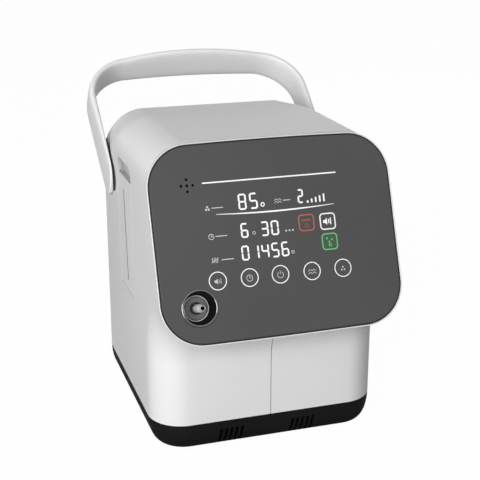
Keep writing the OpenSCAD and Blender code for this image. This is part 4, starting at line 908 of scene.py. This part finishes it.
def strap_path():
    """The strap's outer line from one pivot end to the other, with its width and thickness along it."""
    r = HANDLE_CORNER_R
    corner_x = STRAP_HALF_W + STRAP_SPLAY - r
    bow_z = HANDLE_RISE - HANDLE_BOW_R
    corner_z = bow_z + math.sqrt((HANDLE_BOW_R - r) ** 2 - corner_x ** 2)
    turn = 90 - math.degrees(math.atan2(corner_x, corner_z - bow_z))
    quarter = [math.pi / 2 * i / ARM_STEPS for i in range(ARM_STEPS)]
    path = []
    for a in quarter:
        path.append((STRAP_HALF_W, -ARM_END * math.cos(a), max(ARM_W * math.sin(a), STRAP_LEAST_W), ARM_T))
    for i in range(ARM_STEPS):
        t = i / ARM_STEPS
        w = ARM_W + (STRAP_CORNER_W - ARM_W) * ARM_TAPER * t ** 3
        path.append((STRAP_HALF_W + STRAP_SPLAY * t, corner_z * t, w, ARM_T + (GRIP_T - ARM_T) * t))
    for i, (x, z) in enumerate(arc(corner_x, corner_z, r, 0, turn, STRAP_CORNER_STEPS)):
        left = (1 - ARM_TAPER) * (1 - i / STRAP_CORNER_STEPS)
        path.append((x, z, STRAP_CORNER_W + (ARM_W - STRAP_CORNER_W) * left, GRIP_T))
    top = arc(0, bow_z, HANDLE_BOW_R, turn, 90, GRIP_STEPS)
    path += [(x, z, GRIP_W + (STRAP_CORNER_W - GRIP_W) * (x / top[0][0]) ** 2, GRIP_T) for x, z in top[1:]]
    return path + [(-x, z, w, t) for x, z, w, t in reversed(path[:-1])]


def strap_section(half_w, half_t, steps=36):
    """A flat oval section: (across the strap, through its thickness)."""
    section = []
    for i in range(steps):
        a = 2 * math.pi * i / steps
        c, q = math.cos(a), math.sin(a)
        section.append((math.copysign(half_w * abs(c) ** (2 / STRAP_POWER), c),
                        math.copysign(half_t * abs(q) ** (2 / STRAP_POWER), q)))
    return section


def handle_strap():
    """The strap, its section swept along its line and turned square to it."""
    path = strap_path()
    across = Vector((0, -math.cos(HANDLE_LEAN), math.sin(HANDLE_LEAN)))
    along_arm = Vector((0, math.sin(HANDLE_LEAN), math.cos(HANDLE_LEAN)))
    pivot = Vector((0, *PIVOT))
    points, faces = [], []
    count = len(strap_section(1, 1))
    for i, (x, z, w, t) in enumerate(path):
        x0, z0 = path[max(i - 1, 0)][:2]
        x1, z1 = path[min(i + 1, len(path) - 1)][:2]
        d = Vector((x1 - x0, z1 - z0)).normalized()
        out = Vector((d.y, 0, 0)) - along_arm * d.x
        at = pivot + Vector((x, 0, 0)) + along_arm * z - out * t / 2
        points += [at + across * a + out * b for a, b in strap_section(w / 2, t / 2)]
    for i in range(len(path) - 1):
        for k in range(count):
            n = (k + 1) % count
            faces.append((i * count + k, i * count + n, (i + 1) * count + n, (i + 1) * count + k))
    faces.append(tuple(range(count))[::-1])
    faces.append(tuple(range((len(path) - 1) * count, len(path) * count)))
    return add_mesh("handle_strap", points, faces, LIT_HANDLE_WHITE, smooth=60)


strap = handle_strap()
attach(strap, "handle")
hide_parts("handle")


# Signs on the panel: plain numbers and generic signs, about a tenth of a millimetre thick

INK = 0.12


def sign(name, shapes, material):
    """One piece of print from several outlines, each with its holes."""
    pieces = [plate(name, shape, INK, material, ON_PANEL, rise=INK) for shape in shapes]
    print_piece = joined(name, pieces, material)
    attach(print_piece, "casing")
    return print_piece


def ring(cx, cy, r, line):
    return [circle(cx, cy, r), circle(cx, cy, r - line)]


def bar(x0, y0, x1, y1, line):
    """A straight stroke with round ends."""
    a = math.degrees(math.atan2(y1 - y0, x1 - x0))
    r = line / 2
    return [arc(x1, y1, r, a - 90, a + 90, 6) + arc(x0, y0, r, a + 90, a + 270, 6)]


def level_bar(x0, x1, y, line):
    return bar(x0, y, x1, y, line)


SEGMENTS = {"0": "abcdef", "1": "bc", "2": "abdeg", "3": "abcdg", "4": "bcfg", "5": "acdfg", "6": "acdefg",
            "7": "abc", "8": "abcdefg", "9": "abcdfg"}


def digit(ch, cx, cy, w, h, line):
    """The lit strokes of one seven-segment numeral."""
    x, y = w / 2 - line / 2, h / 2 - line / 2
    gap = line * 0.62
    strokes = {
        "a": (-x + gap, y, x - gap, y), "d": (-x + gap, -y, x - gap, -y), "g": (-x + gap, 0, x - gap, 0),
        "b": (x, gap, x, y - gap), "c": (x, -y + gap, x, -gap),
        "f": (-x, gap, -x, y - gap), "e": (-x, -y + gap, -x, -gap),
    }
    return [bar(cx + x0, cy + y0, cx + x1, cy + y1, line)
            for x0, y0, x1, y1 in (strokes[s] for s in SEGMENTS[ch])]


def number(text, cx, cy, pitch, w, h, line):
    """A row of numerals about a middle."""
    shapes = []
    for i, ch in enumerate(text):
        shapes += digit(ch, cx + (i - (len(text) - 1) / 2) * pitch, cy, w, h, line)
    return shapes


def taper(x0, x1, y, line, sag, steps=24):
    """A sagging line that thins toward both ends."""
    shares = [i / steps for i in range(steps + 1)]
    upper, lower = [], []
    for t in shares:
        x = x0 + (x1 - x0) * t
        middle = y - sag * 4 * t * (1 - t)
        half = line / 2 * (0.3 + 0.7 * math.sin(math.pi * t))
        upper.append((x, middle + half))
        lower.append((x, middle - half))
    return [upper + lower[::-1]]


# Each readout: numerals, middle across and up, pitch, width and height of one numeral
READOUTS = [
    ("85", -24.4, 33.5, 10.3, 7.4, 14.2),
    ("2", 24.6, 33.9, 8, 5.6, 12.6),
    ("6", -30.4, 8.4, 8, 6.8, 13.0),
    ("30", -7.1, 8.2, 9.5, 7.2, 13.0),
    ("01456", -13.4, -11.3, 9.2, 7.0, 13.0),
]
DIGIT_LINE = 1.5

# Lines above and below the upper readouts: left end, right end and height
UPPER_LINE = (-63.4, 60.0, 52.5)
LOWER_LINE = (-54.0, 55.5, 24.6)
LOWER_SAG = 1.7
sign("panel_line", [level_bar(*UPPER_LINE, 1.2)], GLOWING_PRINT)
sign("panel_line_low", [taper(*LOWER_LINE, 1.4, LOWER_SAG)], GLOWING_PRINT)
numbers = []
for readout in READOUTS:
    numbers += number(*readout, DIGIT_LINE)
sign("panel_numbers", numbers, GLOWING_PRINT)

KEYS = [(-59.3, -32.8), (-30.4, -32.9), (-2.0, -33.0), (27.7, -33.2), (57.2, -33.4)]
KEY_R = 8.1
KEY_LINE = 0.8
WAVE_H = 0.7
sign("key_rings", [ring(x, y, KEY_R, KEY_LINE) for x, y in KEYS], GLOWING_PRINT)


def waves(cx, cy, w, rows, pitch, line):
    """Rows of a zigzag, for flow."""
    shapes = []
    xs = [cx + w * (i / 4 - 0.5) for i in range(5)]
    for row in range(rows):
        y = cy + (row - (rows - 1) / 2) * pitch
        ys = [y + (WAVE_H if i % 2 else -WAVE_H) for i in range(5)]
        shapes += [bar(xs[i], ys[i], xs[i + 1], ys[i + 1], line) for i in range(4)]
    return shapes


def clock(cx, cy, r, line):
    """A dial with two hands."""
    hands = [bar(cx, cy, cx, cy + r * 0.55, line), bar(cx, cy, cx + r * 0.45, cy, line)]
    return [ring(cx, cy, r, line)] + hands


def horn(cx, cy, size, line):
    """A horn with two sound bars beside it."""
    s = size / 2
    lower = [(cx - s, cy - s * 0.35), (cx - s * 0.55, cy - s * 0.35), (cx, cy - s * 0.85)]
    upper = [(cx, cy + s * 0.85), (cx - s * 0.55, cy + s * 0.35), (cx - s, cy + s * 0.35)]
    near = bar(cx + s * 0.42, cy - s * 0.4, cx + s * 0.42, cy + s * 0.4, line)
    far = bar(cx + s * 0.9, cy - s * 0.7, cx + s * 0.9, cy + s * 0.7, line)
    return [[lower + upper], near, far]


def switch_sign(cx, cy, r, line):
    """The usual open ring with a stroke at its top."""
    outer = arc(cx, cy, r, 125, 415, 28)
    inner = arc(cx, cy, r - line, 415, 125, 28)
    return [[outer + inner], bar(cx, cy + r * 0.3, cx, cy + r * 1.15, line)]


def dots(cx, cy, pitch, r, places):
    """Round dots at places counted in pitches from a middle."""
    return [[circle(cx + x * pitch, cy + y * pitch, r, 16)] for x, y in places]


def crossed_bars(x, y, line):
    """Four upright strokes from a lower left corner, crossed by a slanting one."""
    upright = [bar(x + 1.5 * i, y, x + 1.5 * i, y + 4.2, line) for i in range(4)]
    return upright + [bar(x - 0.8, y + 0.6, x + 5.4, y + 3.6, line)]


def rising_bars(x, y, count, pitch, line):
    """Upright strokes on one level, each taller than the one before it."""
    return [bar(x + pitch * i, y, x + pitch * i, y + 1.0 + 1.2 * i, line) for i in range(count)]


# Small signs in place of words: the place of each mark, most of them with a short stroke beside it
FINE = 0.55
STROKE = 0.8
TRIAD = ((-0.6, -0.5), (0.6, -0.5), (0, 0.6))
ROW = ((-1, 0), (0, 0), (1, 0))
TRIAD_AT = (-61.6, 30.3)
WAVES_AT = (3.2, 31.6)
CLOCK_AT = (-60.8, 5.6)
CROSSED_AT = (-62.0, -17.0)
ROW_AT = (11.0, 4.7)
RISING_AT = (31.0, 28.0)
SMALL_RINGS = ((-21.9, 5.5), (11.9, -14.5))
LARGE_RING = (-11.2, 29.6)
marks = dots(*TRIAD_AT, 2.0, 1.0, TRIAD) + [level_bar(-57.6, -47.8, TRIAD_AT[1], STROKE)]
marks += waves(*WAVES_AT, 6.4, 2, 2.2, FINE) + [level_bar(8.2, 14.6, WAVES_AT[1], STROKE)]
marks += clock(*CLOCK_AT, 2.6, FINE) + [level_bar(-56.6, -46.8, CLOCK_AT[1], STROKE)]
marks += crossed_bars(*CROSSED_AT, FINE) + [level_bar(-53.6, -43.0, CROSSED_AT[1] + 2.0, STROKE)]
marks += [ring(*at, 1.5, FINE) for at in SMALL_RINGS]
marks += dots(*ROW_AT, 3.2, 0.9, ROW)
sign("small_signs", marks, FAINT_GLOWING_PRINT)
sign("unit_signs", rising_bars(*RISING_AT, 5, 3.9, 1.5) + [ring(*LARGE_RING, 2.0, 0.9)], GLOWING_PRINT)

KEY_MARK = 6.0
KEY_MARK_DROP = 0.4
mark_at = [(x, y - KEY_MARK_DROP) for x, y in KEYS]
key_marks = horn(*mark_at[0], KEY_MARK, FINE)
key_marks += clock(*mark_at[1], KEY_MARK / 2, FINE)
key_marks += switch_sign(*mark_at[2], KEY_MARK / 2, FINE)
key_marks += waves(*mark_at[3], KEY_MARK * 1.2, 2, 2.4, FINE)
key_marks += dots(*mark_at[4], 2.2, 0.8, TRIAD)
sign("key_signs", key_marks, FAINT_GLOWING_PRINT)

# Three lit squares at the right of the display
LAMP = 15.0
LAMP_R = 3.4
LAMP_LINE = 1.1
LAMP_FIELD = LAMP - 2 * LAMP_LINE
RED_LAMP = (27.6, 10.0)
WHITE_LAMP = (47.7, 9.4)
GREEN_LAMP = (47.6, -8.7)


def lamp_field(cx, cy):
    return round_rect(cx, cy, LAMP_FIELD, LAMP_FIELD, LAMP_R - LAMP_LINE)


def lamp_frame(cx, cy):
    return [round_rect(cx, cy, LAMP, LAMP, LAMP_R), lamp_field(cx, cy)]


sign("red_lamp", [lamp_frame(*RED_LAMP)], RED)
sign("red_lamp_mark", [level_bar(RED_LAMP[0] - 3.6, RED_LAMP[0] + 3.6, RED_LAMP[1] + 2.2, 1.8),
                       ring(RED_LAMP[0], RED_LAMP[1] - 2.6, 2.0, 0.8)], DIM_RED)
sign("white_lamp", [lamp_frame(*WHITE_LAMP)] + horn(WHITE_LAMP[0] - 0.6, WHITE_LAMP[1], 7.4, 1.0), GLOWING_PRINT)
sign("green_lamp_field", [[lamp_field(*GREEN_LAMP)]], DIM_GREEN)
sign("green_lamp", [lamp_frame(*GREEN_LAMP)], GREEN)
green_shapes = dots(*GREEN_LAMP, 2.4, 0.9, ((-1, 1.2), (0.9, 0.7), (-0.2, -0.1)))
green_shapes += [ring(GREEN_LAMP[0], GREEN_LAMP[1] - 3.0, 1.5, 0.7)]
green_marks = sign("green_lamp_marks", green_shapes, GREEN)
green_marks.location += PANEL_N * INK * MM


# Rounded edges on the CAD pieces that show

for name, width in (("rear_panel", 0.4), ("mains_inlet", 0.25), ("switch_body", 0.25),
                    ("switch_rocker", 0.25), ("rubber_feet", 0.4), ("fan_frame", 0.3)):
    soft = frame["nodes"][name].modifiers.new("soft_edges", "BEVEL")
    soft.width = width * MM
    soft.segments = 2
    soft.limit_method = "ANGLE"
    soft.angle_limit = math.radians(50)


# Floor, light and camera

def floor():
    """A matt floor that shows the object's shadow and is white to the camera."""
    far = FLOOR_REACH
    points = [(-far, -far, 0), (far, -far, 0), (far, far, 0), (-far, far, 0)]
    mesh = bpy.data.meshes.new("floor")
    mesh.from_pydata(points, [], [(0, 1, 2, 3)])
    ground = bpy.data.objects.new("floor", mesh)
    bpy.context.scene.collection.objects.link(ground)
    m = bpy.data.materials.new("floor")
    m.use_nodes = True
    tree = m.node_tree
    tree.nodes.clear()
    out = tree.nodes.new("ShaderNodeOutputMaterial")
    matt = tree.nodes.new("ShaderNodeBsdfDiffuse")
    matt.inputs["Color"].default_value = (*grey(FLOOR_GREY), 1)
    bright = tree.nodes.new("ShaderNodeEmission")
    bright.inputs["Color"].default_value = (1, 1, 1, 1)
    bright.inputs["Strength"].default_value = FLOOR_WHITE
    seen = tree.nodes.new("ShaderNodeLightPath")
    share = tree.nodes.new("ShaderNodeMath")
    share.operation = "MULTIPLY"
    share.inputs[1].default_value = FLOOR_GLOW
    blend = tree.nodes.new("ShaderNodeMixShader")
    socket_link(tree, seen, "Is Camera Ray", share, 0)
    socket_link(tree, share, "Value", blend, "Fac")
    socket_link(tree, matt, "BSDF", blend, 1)
    socket_link(tree, bright, "Emission", blend, 2)
    socket_link(tree, blend, "Shader", out, "Surface")
    mesh.materials.append(m)


def studio_lamp(name, at, size, watts):
    """An area lamp turned to the object, its place and size in metres."""
    light = bpy.data.lights.new(name, "AREA")
    light.shape = "RECTANGLE"
    light.size, light.size_y = size
    light.energy = watts
    obj = bpy.data.objects.new(name, light)
    bpy.context.scene.collection.objects.link(obj)
    obj.location = at
    obj.rotation_euler = (Vector(LIGHT_TARGET) - Vector(at)).to_track_quat("-Z", "Y").to_euler()


floor()
studio_lamp("key", (-1.2, -1.4, 0.62), (1.1, 1.1), 31)
studio_lamp("rim", (1.7, 0.9, 0.35), (0.9, 0.9), 8)
studio_lamp("over", (-0.4, -0.3, 1.9), (1.4, 1.4), 0.6)

world = bpy.data.worlds.new("studio")
bpy.context.scene.world = world
world.use_nodes = True
sky = world.node_tree
backdrop = sky.nodes["Background"]
backdrop.inputs["Color"].default_value = (1, 1, 1, 1)
ray = sky.nodes.new("ShaderNodeLightPath")
either = sky.nodes.new("ShaderNodeMath")
either.operation = "MAXIMUM"
any_seen = sky.nodes.new("ShaderNodeMath")
any_seen.operation = "MAXIMUM"
strength = sky.nodes.new("ShaderNodeMapRange")
strength.inputs["To Min"].default_value = WORLD_LIGHT
strength.inputs["To Max"].default_value = 1.0
socket_link(sky, ray, "Is Camera Ray", either, 0)
socket_link(sky, ray, "Is Glossy Ray", either, 1)
socket_link(sky, either, "Value", any_seen, 0)
socket_link(sky, ray, "Is Transmission Ray", any_seen, 1)
socket_link(sky, any_seen, "Value", strength, "Value")
socket_link(sky, strength, "Result", backdrop, "Strength")

lens = bpy.data.cameras.new("photo_view")
lens.lens = CAMERA_LENS
lens.sensor_width = CAMERA_SENSOR
viewer = bpy.data.objects.new("photo_view", lens)
bpy.context.scene.collection.objects.link(viewer)
viewer.location = Vector(CAMERA_AT) * MM
view_line = Vector(CAMERA_TO) * MM - Vector(CAMERA_AT) * MM
viewer.rotation_euler = view_line.to_track_quat("-Z", "Y").to_euler()
bpy.context.scene.camera = viewer
bpy.context.scene.view_settings.view_transform = "Standard"
